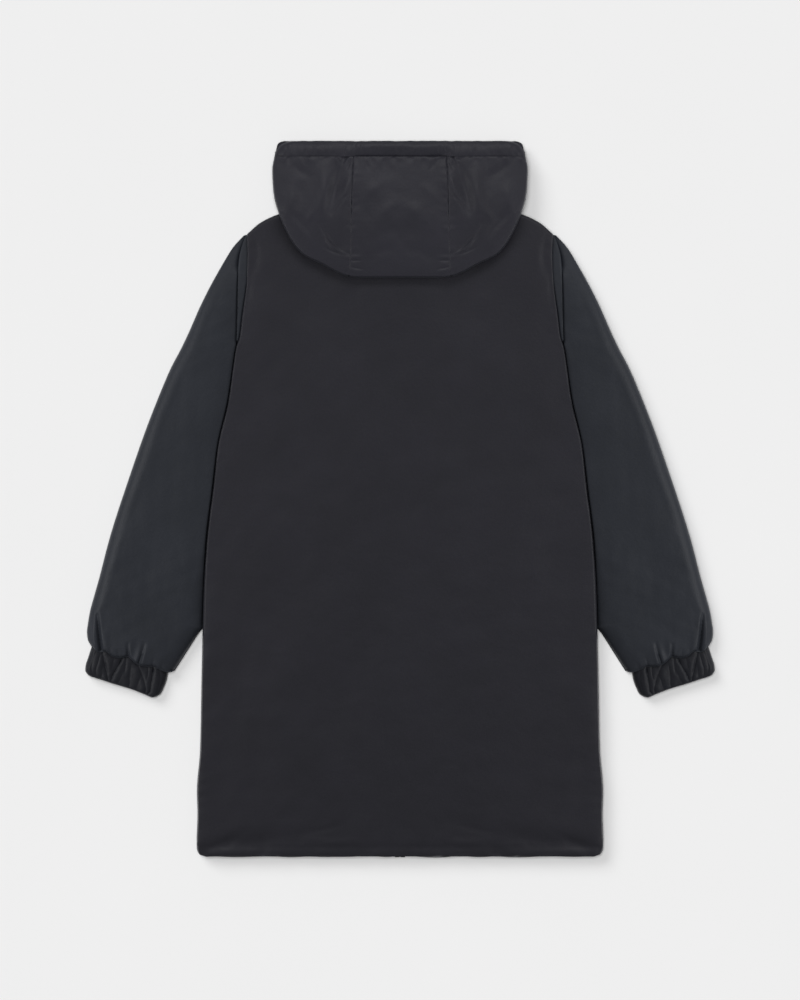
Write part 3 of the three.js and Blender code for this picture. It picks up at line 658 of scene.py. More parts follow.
def back_height(x, y):
    """Upper face of the back before its swells and troughs: flat, and rounded to its seams."""
    inside = np.maximum(0, body_edge(np.clip(y, HEM_Y, SHOULDER[1])) - np.abs(x))
    down = np.maximum(0, back_top_over(np.minimum(np.abs(x), SHOULDER[0])) - y)
    above_hem = y - HEM_Y
    soft = round_up(22, inside, down, 0.65 * above_hem + 1)
    tight = round_up(2, inside, down + 1, above_hem + 1)
    armhole = mix(mix(8, 10.4, smoothstep(y, -60, 60)), 11.2, smoothstep(y, 250, 330))
    edge = mix(SEAM_EDGE, armhole, smoothstep(y, -205, -178) * smoothstep(down, -3, 5))
    return BACK_LOW_Z + edge + (BACK_THICK - edge) * mix(soft, tight, 0.8)


def add_node(tree, kind, links=(), **settings):
    """Adds a shader node. Settings are its properties, or input sockets by their names with _ for a space."""
    node = tree.nodes.new(kind)
    for key, value in settings.items():
        if hasattr(node, key):
            setattr(node, key, value)
        else:
            node.inputs[key.replace("_", " ")].default_value = value
    for socket, source in dict(links).items():
        tree.links.new(source, node.inputs[socket])
    return node


def new_finish(name):
    """A new material, its empty node tree, and the place on the object that its patterns follow."""
    material = bpy.data.materials.new(name)
    material.use_nodes = True
    tree = material.node_tree
    tree.nodes.clear()
    return material, tree, add_node(tree, "ShaderNodeTexCoord").outputs["Object"]


# Woven polyester taffeta with a dull, slightly peached face: a matt dark cloth with a faint bloom at its
# edges. Its threads are 0.25 mm apart and can't show, so the weave is drawn at THREAD_MM. CRUMPLE is how
# strongly each part of the garment is rumpled: the cuffs most, as they are gathered.
THREAD_MM = 1.1
CRUMPLE = {"body": 0.5, "sleeve": 0.5, "cuff": 0.7, "hood": 0.4}

# The finishes of the zip, as roughness and metallic. Woven tape is dull, moulded acetal teeth have a low even
# gloss, and stoved enamel on a zinc casting is glossier, with a trace of the metal.
ZIP_FINISHES = {
    "woven polyester tape": (0.75, 0.0),
    "moulded acetal": (0.4, 0.0),
    "black enamel on zinc": (0.35, 0.3),
}


def shell_cloth(part):
    """The shell cloth of one part of the garment, made where it is first asked for."""
    name = "matt polyester taffeta, " + part
    if name in bpy.data.materials:
        return bpy.data.materials[name]
    material, tree, place = new_finish(name)
    shades = []
    # Broad faint blotches and fine flecks: scale, detail, roughness, and how far the tone goes either way.
    for scale, detail, rough, change in ((14.0, 4.0, 0.55, 0.1), (420.0, 2.0, 0.6, 0.07)):
        pattern = {"Scale": scale, "Detail": detail, "Roughness": rough}
        noise = add_node(tree, "ShaderNodeTexNoise", {"Vector": place}, **pattern).outputs["Fac"]
        ends = {"From_Min": 0.3, "From_Max": 0.7, "To_Min": 1 - change, "To_Max": 1 + change}
        shades.append(add_node(tree, "ShaderNodeMapRange", {"Value": noise}, **ends).outputs["Result"])
    shade = add_node(tree, "ShaderNodeMath", dict(enumerate(shades)), operation="MULTIPLY")
    tint = add_node(tree, "ShaderNodeVectorMath", {3: shade.outputs["Value"]}, operation="SCALE")
    tint.inputs[0].default_value = tuple(getattr(colours(), part))
    weave = {"Scale": pi / (10 * THREAD_MM * MM), "Distortion": 0.6}
    threads = [
        add_node(tree, "ShaderNodeTexWave", {"Vector": place}, bands_direction=way, **weave).outputs["Fac"]
        for way in "XY"
    ]
    weft = add_node(tree, "ShaderNodeMath", dict(enumerate(threads)), operation="MULTIPLY").outputs["Value"]
    rumple = add_node(tree, "ShaderNodeTexNoise", {"Vector": place}, Scale=55.0, Detail=5.0, Roughness=0.6)
    weave_bump = add_node(tree, "ShaderNodeBump", {"Height": weft}, Strength=0.25, Distance=0.00012)
    relief = {"Height": rumple.outputs["Fac"], "Normal": weave_bump.outputs["Normal"]}
    cloth_bump = add_node(tree, "ShaderNodeBump", relief, Strength=CRUMPLE[part], Distance=0.0016)
    surface = add_node(
        tree,
        "ShaderNodeBsdfPrincipled",
        {"Base Color": tint.outputs["Vector"], "Normal": cloth_bump.outputs["Normal"]},
        Roughness=0.48,
        Specular_IOR_Level=0.25,
        Sheen_Weight=0.04,
        Sheen_Roughness=0.8,
    )
    surface.inputs["Sheen Tint"].default_value = (0.75, 0.8, 0.9, 1)
    add_node(tree, "ShaderNodeOutputMaterial", {"Surface": surface.outputs["BSDF"]})
    return material


def plain_finish(name, colour, rough, metallic=0.0, grain=900.0, depth=0.00005, change=0.08):
    """A solid finish with a fine grain and tones that go up and down by `change`."""
    material, tree, place = new_finish(name)
    noise = add_node(tree, "ShaderNodeTexNoise", {"Vector": place}, Scale=grain, Detail=3.0).outputs["Fac"]
    tones = add_node(tree, "ShaderNodeMapRange", {"Value": noise}, To_Min=1 - change, To_Max=1 + change)
    tint = add_node(tree, "ShaderNodeVectorMath", {3: tones.outputs["Result"]}, operation="SCALE")
    tint.inputs[0].default_value = tuple(colour)
    bump = add_node(tree, "ShaderNodeBump", {"Height": noise}, Strength=0.3, Distance=depth)
    inputs = {"Base Color": tint.outputs["Vector"], "Normal": bump.outputs["Normal"]}
    surface = add_node(tree, "ShaderNodeBsdfPrincipled", inputs, Roughness=rough, Metallic=metallic)
    add_node(tree, "ShaderNodeOutputMaterial", {"Surface": surface.outputs["BSDF"]})
    return material


def zip_finish(name):
    """One of the zip's finishes, made where it is first asked for."""
    return bpy.data.materials.get(name) or plain_finish(name, colours().zip, *ZIP_FINISHES[name])


def colour_property(name, code, description):
    return FloatVectorProperty(
        name=name, description=description, subtype="COLOR", size=3, min=0, max=1, default=linear(code)
    )


def length_property(name, millimetres, description):
    return FloatProperty(name=name, description=description, unit="LENGTH", min=0, default=millimetres * MM)


class ParkaColours(PropertyGroup):
    body: colour_property("Body shell", "#201f26", "Colour of the back and fronts")
    sleeve: colour_property("Sleeve shell", "#272a31", "Colour of the sleeves")
    hood: colour_property("Hood shell", "#23222a", "Colour of the hood")
    # The cuffs are the same cloth as the rest of the shell. Their darker colour is painted shade of the
    # gathers.
    cuff: colour_property("Cuff shell", "#13141b", "Colour of the cuffs")
    zip: colour_property("Zip", "#161618", "Colour of the zip's tape, teeth and slider")
    floor: colour_property("Floor", "#f0f0f0", "Colour of the floor")


class ParkaSizes(PropertyGroup):
    swell: length_property("Padding swell", 0.8, "How far the padding swells unevenly between its seams")
    pucker: length_property("Seam pucker", 0.55, "How deep the seams pucker")
    view_height: length_property("View height", 1400, "Height of the floor that the camera sees")
    view_distance: length_property("Camera distance", 14000, "Distance of the camera above the garment")


def colours():
    return bpy.context.scene.parka_colours


def millimetres(name):
    return getattr(bpy.context.scene.parka_sizes, name) / MM


def dress(piece, nodes, body=COAT):
    """The piece stands for its nodes and rides on their body."""
    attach(piece, body)
    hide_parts(*nodes)
    return piece


def seam_pucker(along, off, seed, spacing=15.0, reach=13.0):
    """Short waves across a seam, uneven in length, that fade within `reach` of it."""
    uneven = swell(along, off * 0.3, spacing, seed)
    return millimetres("pucker") * uneven * hump(off, reach) * (1 - hump(off, 1.5))


def back_surface(x, y):
    """Upper face of the back: padded, rounded to its seams, with the turned hem and the soft troughs."""
    across = np.abs(x)
    inside = np.maximum(0, body_edge(np.clip(y, HEM_Y, SHOULDER[1])) - across)
    above_hem = y - HEM_Y
    height = back_height(x, y)
    full = round_up(40, inside, above_hem + 6)
    height += millimetres("swell") * full * swell(x, y, 120, 4, (1, 1.3))
    height += 0.3 * full * swell(x, y, 42, 5)
    height += creases(across, y, BACK_CREASES)
    height += 0.5 * seam_pucker(y, inside, 6)
    height += 1.6 * seam_pucker(x, above_hem, 7, 26, 22)
    height -= hump(above_hem - HEM_STITCH, 1.7) * (0.8 + 0.35 * swell(x, 0 * x, 17, 8))
    return np.maximum(height, BACK_LOW_Z + 1.1)


def make_back():
    """The back, one panel from the neck to the hem."""
    s, v = np.meshgrid(2 * spread(131, 0.55) - 1, mix(HEM_Y, SHOULDER[1], spread(196, 0.4)))
    x, y = body_plan(body_edge, BACK_TOP, 0, s, v)
    # The hem waves, and draws up a little in the middle, where the zip's ends show below it.
    wavy = smoothstep(-v, -HEM_Y - 30, -HEM_Y)
    y += wavy * (0.8 * swell(x, 0 * x, 46, 9) + 1.5 * hump(x, 15))
    places, faces = wall_mesh(x, y, back_surface(x, y), np.full_like(x, BACK_LOW_Z))
    piece = finish_mesh("back_panel", places, faces, shell_cloth("body"))
    return dress(piece, ["back"])


def make_front(side, name):
    """One of the fronts, with its zip edge and its hem stitched."""
    s, v = np.meshgrid(spread(64, 0.5), mix(HEM_Y, SHOULDER[1], spread(150, 0.4)))
    # The plan mirrors by the sign of s, so s is never quite 0 here.
    x, y = body_plan(front_edge, FRONT_TOP, ZIP_HALF, s + 1e-9, v)
    edge = np.maximum(0, np.minimum(front_edge(v) - x, y - HEM_Y))
    zip_side = np.maximum(0, x - ZIP_HALF)
    low = 4.6 * (1 - round_up(7, edge)) + 1.2 * (1 - round_up(2.5, zip_side))
    stitches = hump(y - HEM_Y - HEM_STITCH, 1.6) + hump(zip_side - 8, 1.2)
    low += 0.6 * stitches * smoothstep(edge, 1, 6)
    top = FRONT_TOP_Z - 2.4 * (1 - round_up(6, edge))
    places, faces = wall_mesh(side * x, y, top, np.minimum(low, top - 1))
    piece = finish_mesh(name + "_panel", places, faces, shell_cloth("body"))
    return dress(piece, [name])


def sleeve_plan(k):
    """A sleeve's section at each place `k` in its table, and where its inner edge and body seam are."""
    index = np.arange(len(SLEEVE_SECTIONS["inner"]), dtype=float)
    section = {c: curve_through({"k": index, c: SLEEVE_SECTIONS[c]}, "k", c)(k) for c in SLEEVE_SECTIONS}
    inner_y, edge_y = section["inner"], section["edge"]
    beside = inner_y > SLEEVE_INNER["y"][-1]
    inner_x = np.where(beside, front_edge(inner_y), free_inner(inner_y)) + SEAM_GAP
    under = smoothstep(edge_y, *GOES_UNDER_BACK)
    return section, inner_x, np.maximum(mix(0, body_edge(edge_y), under), inner_x + 1)


def sleeve_top(x, y, fold_x, section, pleated):
    """Upper face of a sleeve from its pleat outwards: padded, creased, with a soft ridge above the cuff."""
    edge_y, full = section["edge"], section["full"]
    to_edge = np.hypot(x - section["outer_x"], y - section["outer"])
    head = smoothstep(edge_y, *SLEEVE_HEAD)
    low_part = smoothstep(-edge_y, 50, 175)
    beside = 1 - smoothstep(-edge_y, 172, 190)
    # The level that the padding rises from, past its pleat, at the head or above the cuff.
    foot = mix(9.5, mix(mix(mix(21.2, 12.5, low_part), 20, pleated), 11, head), beside)
    crest = mix(FRONT_TOP_Z, DOME, full)
    crevice = mix(2.4, 24, low_part) + 4 * hump(edge_y - 183, 24) + 3.4 * head
    steep = mix(0.45, 0.62, np.maximum(low_part, head))
    rise = steep * round_up(crevice, x - fold_x) + (1 - steep) * round_up(30, x - fold_x)
    top = mix(np.minimum(foot, crest), crest, rise)
    top = mix(SLEEVE_RIM, top, round_up(mix(19, 26, smoothstep(-y, 130, 190)), to_edge))
    top += 0.5 * full * swell(x, y, 75, 21) * smoothstep(to_edge, 4, 26)
    top += 0.22 * full * swell(x, y, 26, 22) * smoothstep(to_edge, 4, 20)
    # A soft ridge along the outer edge above the cuff, and a trough inside it.
    ridge_off = to_edge - mix(19, 9, smoothstep(-y, 60, 200))
    ridge_on = smoothstep(-y, 120, 165) * (1 - smoothstep(-y, 205, 222))
    top += 0.6 * ridge_on * hump(ridge_off, 4.5)
    top -= 0.4 * ridge_on * hump(ridge_off - 11, 7)
    top += creases(x, y, SLEEVE_CREASES) * smoothstep(to_edge, 1, 8)
    # The padding sinks to the seam of the cuff.
    (inner_x, inner_y), (outer_x, outer_y) = CUFF_SEAM_ENDS
    above_seam = y - mix(inner_y, outer_y, np.clip((x - inner_x) / (outer_x - inner_x), 0, 1))
    seamed = smoothstep(-edge_y, 150, 200)
    return top - (top - SLEEVE_FOOT) * seamed * hump(np.maximum(above_seam, 0), 1.5)


def make_sleeve(side, name):
    """A sleeve: rings of its tucked part, its pleat and its upper face, closed by its flat underside."""
    last, elbow = len(SLEEVE_SECTIONS["inner"]) - 1, 11
    k = np.concatenate([np.linspace(0, elbow, 77)[:-1], np.linspace(elbow, last, 80)])[:, None]
    section, inner_x, seam_x = sleeve_plan(k)
    edge_y = section["edge"]
    pleated = smoothstep(edge_y, *PLEAT_STARTS)
    fold_x = mix(seam_x + 0.6, np.maximum(pleat_fold(edge_y), seam_x + 1.2), pleated)
    # Across each section: what is tucked under the back, the pleat's fold, and the upper face.
    tuck = np.array([0, 0.12, 0.35, 0.7, 0.96, 1])[None, :]
    over = spread(100, 0.2)[None, 1:]
    tuck_x, tuck_y = mix(inner_x, seam_x + SEAM_GAP, tuck), mix(section["inner"], edge_y, tuck)
    pleat_x = mix(seam_x + SEAM_GAP + 0.1, fold_x, np.linspace(0, 1, 9)[None, :])
    over_x, over_y = mix(fold_x, section["outer_x"], over), mix(edge_y, section["outer"], over)
    free = 1 - smoothstep(edge_y, -180, -172)
    tuck_z = TUCK_TOP - free * 3.4 * (1 - round_up(0.9, tuck * 0.9))
    groove = mix(2.6, 0.5, smoothstep(edge_y, 250, 330))
    pleat_z = PLEAT_TOP + 2 - groove * pinch(pleat_x - pleat_x[:, :1], 0.8)
    pleat_z -= 2.5 * pinch(fold_x - pleat_x, 0.7)
    pleat_z = mix(TUCK_TOP, mix(TUCK_TOP, pleat_z, np.sqrt(section["full"])), pleated)
    top = sleeve_top(over_x, over_y, fold_x, section, pleated)
    x = np.concatenate([tuck_x, pleat_x, over_x], 1)
    y = np.concatenate([tuck_y, np.broadcast_to(edge_y, pleat_x.shape), over_y], 1)
    z = np.concatenate([np.broadcast_to(tuck_z, tuck_x.shape), pleat_z, top], 1)
    x, y = follow_cuff_seam(x, y, section)
    from_inner = np.hypot(x - x[:, :1], y - y[:, :1])
    from_outer = np.hypot(x - x[:, -1:], y - y[:, -1:])
    low = 5.2 * (1 - round_up(7, from_outer)) + free * 3.0 * (1 - round_up(5, from_inner))
    rings = layer_rings(side, x, y, z, np.minimum(low, z - 1), 5)
    piece = finish_mesh(name + "_tube", *tube_mesh(*rings), shell_cloth("sleeve"))
    return dress(piece, [name])


def follow_cuff_seam(x, y, section):
    """Bends the last rows of a sleeve to the scalloped line of its cuff seam."""
    share = (x[-1] - x[-1, 0]) / (x[-1, -1] - x[-1, 0])
    seam_x, seam_y = path_along(CUFF_SEAM, "share", share)
    near = smoothstep(-section["outer"], 168, -CUFF_SEAM_ENDS[1][1])
    return x + near * (seam_x - x[-1]), y + near * (seam_y - y[-1])


def layer_rings(side, x, y, top, low, inset):
    """The outer ring of each section, and the ring of the slit between its two layers."""
    long = np.hypot(x[:, -1:] - x[:, :1], y[:, -1:] - y[:, :1])
    share = np.hypot(x - x[:, :1], y - y[:, :1]) / long
    shrink = np.minimum(inset / long, 0.3)
    moved = mix(shrink, 1 - shrink, share) - share
    slit_x, slit_y = x + (x[:, -1:] - x[:, :1]) * moved, y + (y[:, -1:] - y[:, :1]) * moved
    middle = (top + low) / 2
    outer = [np.stack([side * x, y, z], -1) for z in (top, low)]
    slit = [np.stack([side * slit_x, slit_y, middle + half], -1) for half in (SLIT_HALF, -SLIT_HALF)]
    return [np.concatenate([upper, lower[:, ::-1]], 1) for upper, lower in (outer, slit)]


def make_cuff(side, name):
    """A cuff between its seam and its end, with its gathers as grooves that lean and fade."""
    t, share = np.meshgrid(spread(41, 0.5), spread(158, 0.15), indexing="ij")
    seam = path_along(CUFF_SEAM, "share", mix(0.07, 1, share))
    end = path_along(CUFF_END, "share", share)
    sides = [path_along(rows, "t", t) for rows in (CUFF_INNER_SIDE, CUFF_OUTER_SIDE)]
    # Straight across between the sides, then bent to the seam and to the line of the cuff's end.
    x, y = (
        mix(sides[0][i], sides[1][i], share)
        + (1 - t) * (seam[i] - mix(seam[i][0, 0], seam[i][0, -1], share))
        + t * (end[i] - mix(end[i][0, 0], end[i][0, -1], share))
        for i in (0, 1)
    )
    y += 0.25 * (1 - t)
    across, down = share * CUFF_WIDE, t * CUFF_DEEP
    ends = round_up(0.075, share, 1 - share)
    lip = 0.7 * round_up(0.045, t + 0.045, 1.01 - t) + 0.3 * round_up(0.3, t + 0.16, 1.05 - t)
    top = mix(6.5, CUFF_TOP, ends * lip)
    for at, at_end, start, stop, depth, width in zip(*GATHERS.values()):
        line = mix(at, at_end, t) + 0.008 * np.sin(t * 5 + at * 40)
        off = np.abs(share - line) * CUFF_WIDE
        reach = smoothstep(t, start - 0.12, start + 0.1) * (1 - smoothstep(t, stop - 0.15, stop + 0.12))
        uneven = 0.85 + 0.3 * swell(down, at * 100 + 0 * t, 14, 34)
        fold = 0.75 * pinch(off, width) + 0.45 * hump(off, 4.5) - 0.35 * hump(off, 9)
        top -= 0.6 * depth * reach * uneven * fold * ends
    top += 0.25 * swell(across, down, 13, 31, (1, 2.6)) * ends * lip
    low = 5.0 * (1 - round_up(0.05, share, 1 - share)) + 2.5 * (1 - round_up(0.1, 1 - t))
    low = np.maximum(0, low + 0.9 * (0.5 + 0.5 * swell(across, down, 8, 33, (1, 4))) * ends)
    rings = layer_rings(side, x, y, np.maximum(top, low + 2.4), low, 4)
    piece = finish_mesh(name + "_band", *tube_mesh(*rings), shell_cloth("cuff"))
    return dress(piece, [name])


def under_hood(x, y):
    """What the hood lies on: the back, and past the neck the fronts."""
    beyond = y - back_top_over(np.minimum(np.abs(x), SHOULDER[0]))
    return np.where(beyond > 0, FRONT_TOP_Z + SEAM_EDGE, back_height(x, y))


def hood_crest(y):
    """Level of the hood's hidden layers along the middle: full at the fold, and lower at the casing."""
    return mix(HOOD_STACK, HOOD_LIP, smoothstep(y, 385, FACE_CORNER[1] + 4))


def stack_height(x, y, distance):
    """Top of the hood's hidden layers, `distance` in from its outline."""
    crest = hood_crest(y)
    rim = np.minimum(crest, under_hood(x, y) + 3)
    return mix(rim, crest, round_up(14, np.maximum(0, distance - HOOD_SKIRT)))


def hood_seam_x(y):
    """How far from the middle line the seam of the hood's centre panel is."""
    (top_x, top_y), (fold_x, fold_y) = HOOD_SEAM
    return mix(fold_x, top_x, (y - fold_y) / (top_y - fold_y))


def hood_surface(x, y, distance):
    """Upper face of the hood, with its creases and the pucker along its seams."""
    across = np.abs(x)
    # Steep at the rim, then a long soft rise.
    full = 0.74 * round_up(2.4, distance) + 0.26 * round_up(30, distance)
    height = mix(under_hood(x, y) + 6, hood_crest(y) + HOOD_THICK, full)
    height += smoothstep(distance, 3, 26) * (0.45 * swell(x, y, 55, 41) + 0.12 * swell(x, y, 21, 42))
    height += creases(across, y, HOOD_CREASES) * smoothstep(distance, 0, 8)
    off_seam = np.abs(across - hood_seam_x(y))
    groove = mix(0.5, 1.1, smoothstep(y, 360, 410)) * smoothstep(distance, 2, 12)
    height -= groove * pinch(off_seam, 0.9)
    height += 0.5 * seam_pucker(y, off_seam, 43, 11, 9)
    drawn_in = 1 - smoothstep(across, *DRAWN_IN)
    height -= mix(0.35, 0.6, drawn_in) * pinch(CASING_Y - y, 2.2)
    return height + 1.6 * seam_pucker(x, np.abs(CASING_Y - y), 44, 12, 10)


def hood_low(x, y, distance):
    """Underside of the hood's upper panels: on the back at the rim, and on the hidden layers inside it."""
    on_back = under_hood(x, y) + 0.5
    return np.where(distance < HOOD_SKIRT, on_back, np.maximum(stack_height(x, y, distance) + 0.6, on_back))


def make_hood_centre():
    """The hood's centre panel, between its two seams."""
    rows = mix(HOOD_FOLD_Y, CASING_Y - SEAM_SLIT, spread(124, 0.45))
    s, y = np.meshgrid(np.linspace(-1, 1, 97), rows)
    x = s * hood_seam_x(y)
    y += 1.9 * smoothstep(np.abs(s), 0.8, 1) * (1 - smoothstep(y, HOOD_FOLD_Y, 315))
    distance = outline_distance(x, y)
    places, faces = wall_mesh(x, y, hood_surface(x, y, distance), hood_low(x, y, distance))
    piece = finish_mesh("hood_centre_panel", places, faces, shell_cloth("hood"))
    return dress(piece, ["hood_centre"])


def face_y(x, drop):
    """The slanting edge of the face opening below, and lines that are `drop` in from it."""
    slope = (FACE_CORNER[1] - CHIN[1]) / (FACE_CORNER[0] - CHIN[0])
    return CHIN[1] + slope * (x - CHIN[0]) - drop * hypot(1, slope)


def make_hood_side(side, name):
    """A side panel: what lies on top, and the flap of it that shows underneath."""
    (top_x, top_y), (fold_x, fold_y) = HOOD_SEAM
    rows, columns = spread(112, 0.4) * 0.99 + 0.01, 1 - (1 - spread(96, 0.2)) ** 1.25
    t, s = np.meshgrid(rows, columns, indexing="ij")
    up = 1 - (1 - t) ** 1.3
    outline_x, outline_y = path_along(HOOD_OUTLINE, "at", mix(0.214, HOOD_OUTLINE["at"][-1], t))
    x = mix(mix(fold_x, top_x, up) + SEAM_SLIT, outline_x, s)
    y = mix(mix(fold_y + SEAM_SLIT, CASING_Y - SEAM_SLIT, up), outline_y, s)
    distance = outline_distance(x, y)
    upper = wall_mesh(side * x, y, hood_surface(side * x, y, distance), hood_low(x, y, distance))
    piece = finish_mesh(name + "_panel", *joined([upper, hood_flap(side)]), shell_cloth("hood"))
    return dress(piece, [name])


def hood_flap(side):
    """The part of a side panel that lies underneath, from the neck seam out to the casing."""
    at, t = spread(60, 0.2), spread(14, 0.5)[:, None]
    seam_x, seam_y = path_along(FRONT_TOP, "at", mix(0, 0.78, at))
    casing_x = mix(ZIP_HALF, 174.8, at**1.25)
    casing_y = face_y(casing_x, CASING_RUN) - 0.6
    lift = 0.6 + 0.6 * np.clip(at - 0.3, 0, 0.1) * 10
    x, y = mix(seam_x, casing_x, t), mix(seam_y + lift, casing_y, t)
    low = 3.4 * (1 - round_up(5, np.minimum(t * 30, (1 - at) * 60)))
    return wall_mesh(side * x, y, np.full_like(x, FRONT_TOP_Z - 0.4), low)


def casing_surface(x, y, half):
    """Upper face of the casing: a rolled edge that its drawn thread puckers."""
    across, above_seam = np.abs(x), y - CASING_Y
    full = round_up(20, np.maximum(0, half - across), FACE_CORNER[1] - y + 2.2)
    height = mix(FRONT_TOP_Z + SEAM_EDGE + 5.5, HOOD_LIP + HOOD_THICK, full)
    puckers = swell(x + 0.25 * above_seam, y, 13, 51, (1, 3.5)) + 0.6 * swell(x, y, 6.5, 52, (1, 3))
    height += full * (0.25 * puckers * smoothstep(above_seam, 0, 5) + 0.5 * swell(x, y, 40, 53))
    drawn_in = 1 - smoothstep(across, *DRAWN_IN)
    height += 2 * drawn_in - 0.3 * pinch(above_seam, 2.2)
    height -= 5.4 * drawn_in * (1 - smoothstep(above_seam, -5, 17))
    return height + creases(across, y, CASING_CREASES)


def make_casing():
    """The casing: its rolled upper run, its two lower runs round the face opening, and their outer turns."""
    half = curve_through(CASING_OUTLINE, "y", "half")
    first_y, last_y = 479.05, CASING_OUTLINE["y"][-1]
    s, y = np.meshgrid(2 * spread(241, 0.15) - 1, mix(first_y, last_y, spread(30, 0.6)))
    x = s * half(y)
    y += smoothstep(y, 494, last_y) * (0.25 * swell(x, 0 * x, 15, 54) - 0.3)
    low = np.full_like(x, FRONT_TOP_Z + SEAM_EDGE + 2)
    parts = [wall_mesh(x, y, casing_surface(x, y, half(y)), low)]
    for side in (-1, 1):
        # The lower run beside the face opening.
        t, s = np.meshgrid(spread(20, 0.6), spread(110, 0.2), indexing="ij")
        lower, upper = mix(ZIP_HALF, 175.4, s), mix(ZIP_HALF, FACE_CORNER[0], s)
        x = mix(lower, upper, t)
        tip = 0.4 * s + 2.4 * smoothstep(s, 0.93, 1)
        y = mix(face_y(lower, CASING_RUN), face_y(upper, 0) - tip, t)
        rolled = round_up(5, (1 - t) * CASING_RUN, (1 - s) * 120)
        pucker = 0.35 * swell(s * 190, t * 20, 11, 55, (1, 3)) * t
        low = 3.2 * (1 - rolled) + 0.5 * hump((t - 0.12) * 14, 1) + np.maximum(0, pucker)
        parts.append(wall_mesh(side * x, y, FRONT_TOP_Z - 2.6 * (1 - rolled), low))
        # The turn at its outer end, up to the upper run.
        t, s = np.meshgrid(spread(8), spread(12), indexing="ij")
        x = mix(mix(152, 173, s), mix(156, 169.5, s), t)
        y = 484 + t * (10.2 + 4 * np.sin(pi * s))
        edge = round_up(4, (1 - t) * 14, (1 - s) * 18)
        parts.append(wall_mesh(side * x, y, 12 + 3.6 * edge, 5 - 3 * edge))
    piece = finish_mesh("hood_casing_edge", *joined(parts), shell_cloth("hood"))
    return dress(piece, ["hood_casing"])


def make_hood_layers():
    """The hood's hidden layers: a pad that sags into the face opening past the neck."""
    first_y, last_y = 328, 477
    half = curve_through({"x": HOOD_OUTLINE["x"][1:], "y": HOOD_OUTLINE["y"][1:]}, "y", "x")
    s, y = np.meshgrid(2 * spread(81, 0.6) - 1, mix(first_y, last_y, spread(61, 0.4)))
    x = s * (half(y) - mix(28, 15, smoothstep(y, first_y, 365)))
    edge = np.minimum(np.minimum(y - first_y, last_y - y), half(y) - 15 - np.abs(x))
    rim = np.maximum(edge, 0)
    top = stack_height(x, y, outline_distance(x, y)) - 1.2 - 2 * (1 - round_up(6, rim))
    # Past the neck the layers sag through the face opening, almost to the floor.
    sagging = smoothstep(y, 410, 424) * (1 - smoothstep(np.abs(x) - (y - 415) * 1.17, 48, 58))
    sagging *= 1 - smoothstep(y, 470, last_y)
    low = mix(under_hood(x, y) + 0.5, 3.2 + 0.6 * swell(x, y, 34, 61, (1, 0.6)), sagging)
    low += 1.4 * (1 - round_up(5, rim))
    piece = finish_mesh("hood_hidden_layers", *wall_mesh(x, y, top, low), shell_cloth("hood"))
    return dress(piece, ["hood_layers"])


def joined(parts):
    """Several closed parts as the places and faces of one mesh."""
    starts = np.cumsum([0] + [len(places) for places, _ in parts[:-1]])
    faces = [faces + start for (_, faces), start in zip(parts, starts)]
    return np.concatenate([places for places, _ in parts]), np.concatenate(faces)


def rounded_boxes(centres, halves, radius, turns=None):
    """Places and faces of boxes with rounded edges, each turned about its upright axis."""
    centres, halves = np.atleast_2d(centres), np.atleast_2d(halves)
    # The surface of a cube in three steps each way, whose outer steps become the round edges.
    cube = [place for place in product(range(4), repeat=3) if {0, 3} & set(place)]
    number = {place: n for n, place in enumerate(cube)}
    faces = []
    for axis, level, i, j in product(range(3), (0, 3), range(3), range(3)):
        corners = [(i, j), (i + 1, j), (i + 1, j + 1), (i, j + 1)]
        outward = (level == 3) == (axis != 1)
        places = [corner[:axis] + (level,) + corner[axis:] for corner in corners]
        faces.append([number[place] for place in places[:: 1 if outward else -1]])
    grid = np.array(cube)
    signs = np.where(grid > 1, 1, -1) * 1.0
    outer = np.isin(grid, (0, 3))
    core = signs * (halves[:, None] - radius)
    way = np.where(outer, signs, 0)
    away = radius * way / np.linalg.norm(way, axis=-1, keepdims=True)
    places = core + away
    if turns is not None:
        cosine, sine = np.cos(turns)[:, None], np.sin(turns)[:, None]
        x, y, z = np.moveaxis(places, -1, 0)
        places = np.stack([x * cosine - y * sine, x * sine + y * cosine, z], -1)
    places = places + centres[:, None]
    starts = np.arange(len(places)) * len(cube)
    return places.reshape(-1, 3), (np.array(faces)[None] + starts[:, None, None]).reshape(-1, 4)


def make_zip(side, name):
    """One side of the closed zip: its tape, and the row of teeth that meshes with the other side's."""
    x, y = np.meshgrid(np.array([0.9, 1.1, 2.6, 5.2, 6.9, 7.1]), np.linspace(ZIP_LOW_Y, ZIP_TOP_Y, 300))
    ribbed = 0.06 * np.cos(x * 2.2)
    tape_faces = wall_mesh(side * x, y, 6.85 + ribbed, 6.15 + ribbed)
    tape = finish_mesh(name + "_tape", *tape_faces, zip_finish("woven polyester tape"))
    start = ZIP_LOW_Y + 1.2 + (TOOTH_PITCH / 2 if side > 0 else 0)
    middle = np.arange(start, ZIP_TOP_Y - 1, TOOTH_PITCH)
    ones = np.ones_like(middle)
    parts = []
    for at, *half_size in TOOTH_BOXES:
        centres = np.stack([side * at * ones, middle, 6.5 * ones], -1)
        parts.append(rounded_boxes(centres, np.outer(ones, half_size), 0.3))
    teeth = finish_mesh(name + "_teeth", *joined(parts), zip_finish("moulded acetal"), 35)
    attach(teeth, COAT)
    return dress(tape, [name])


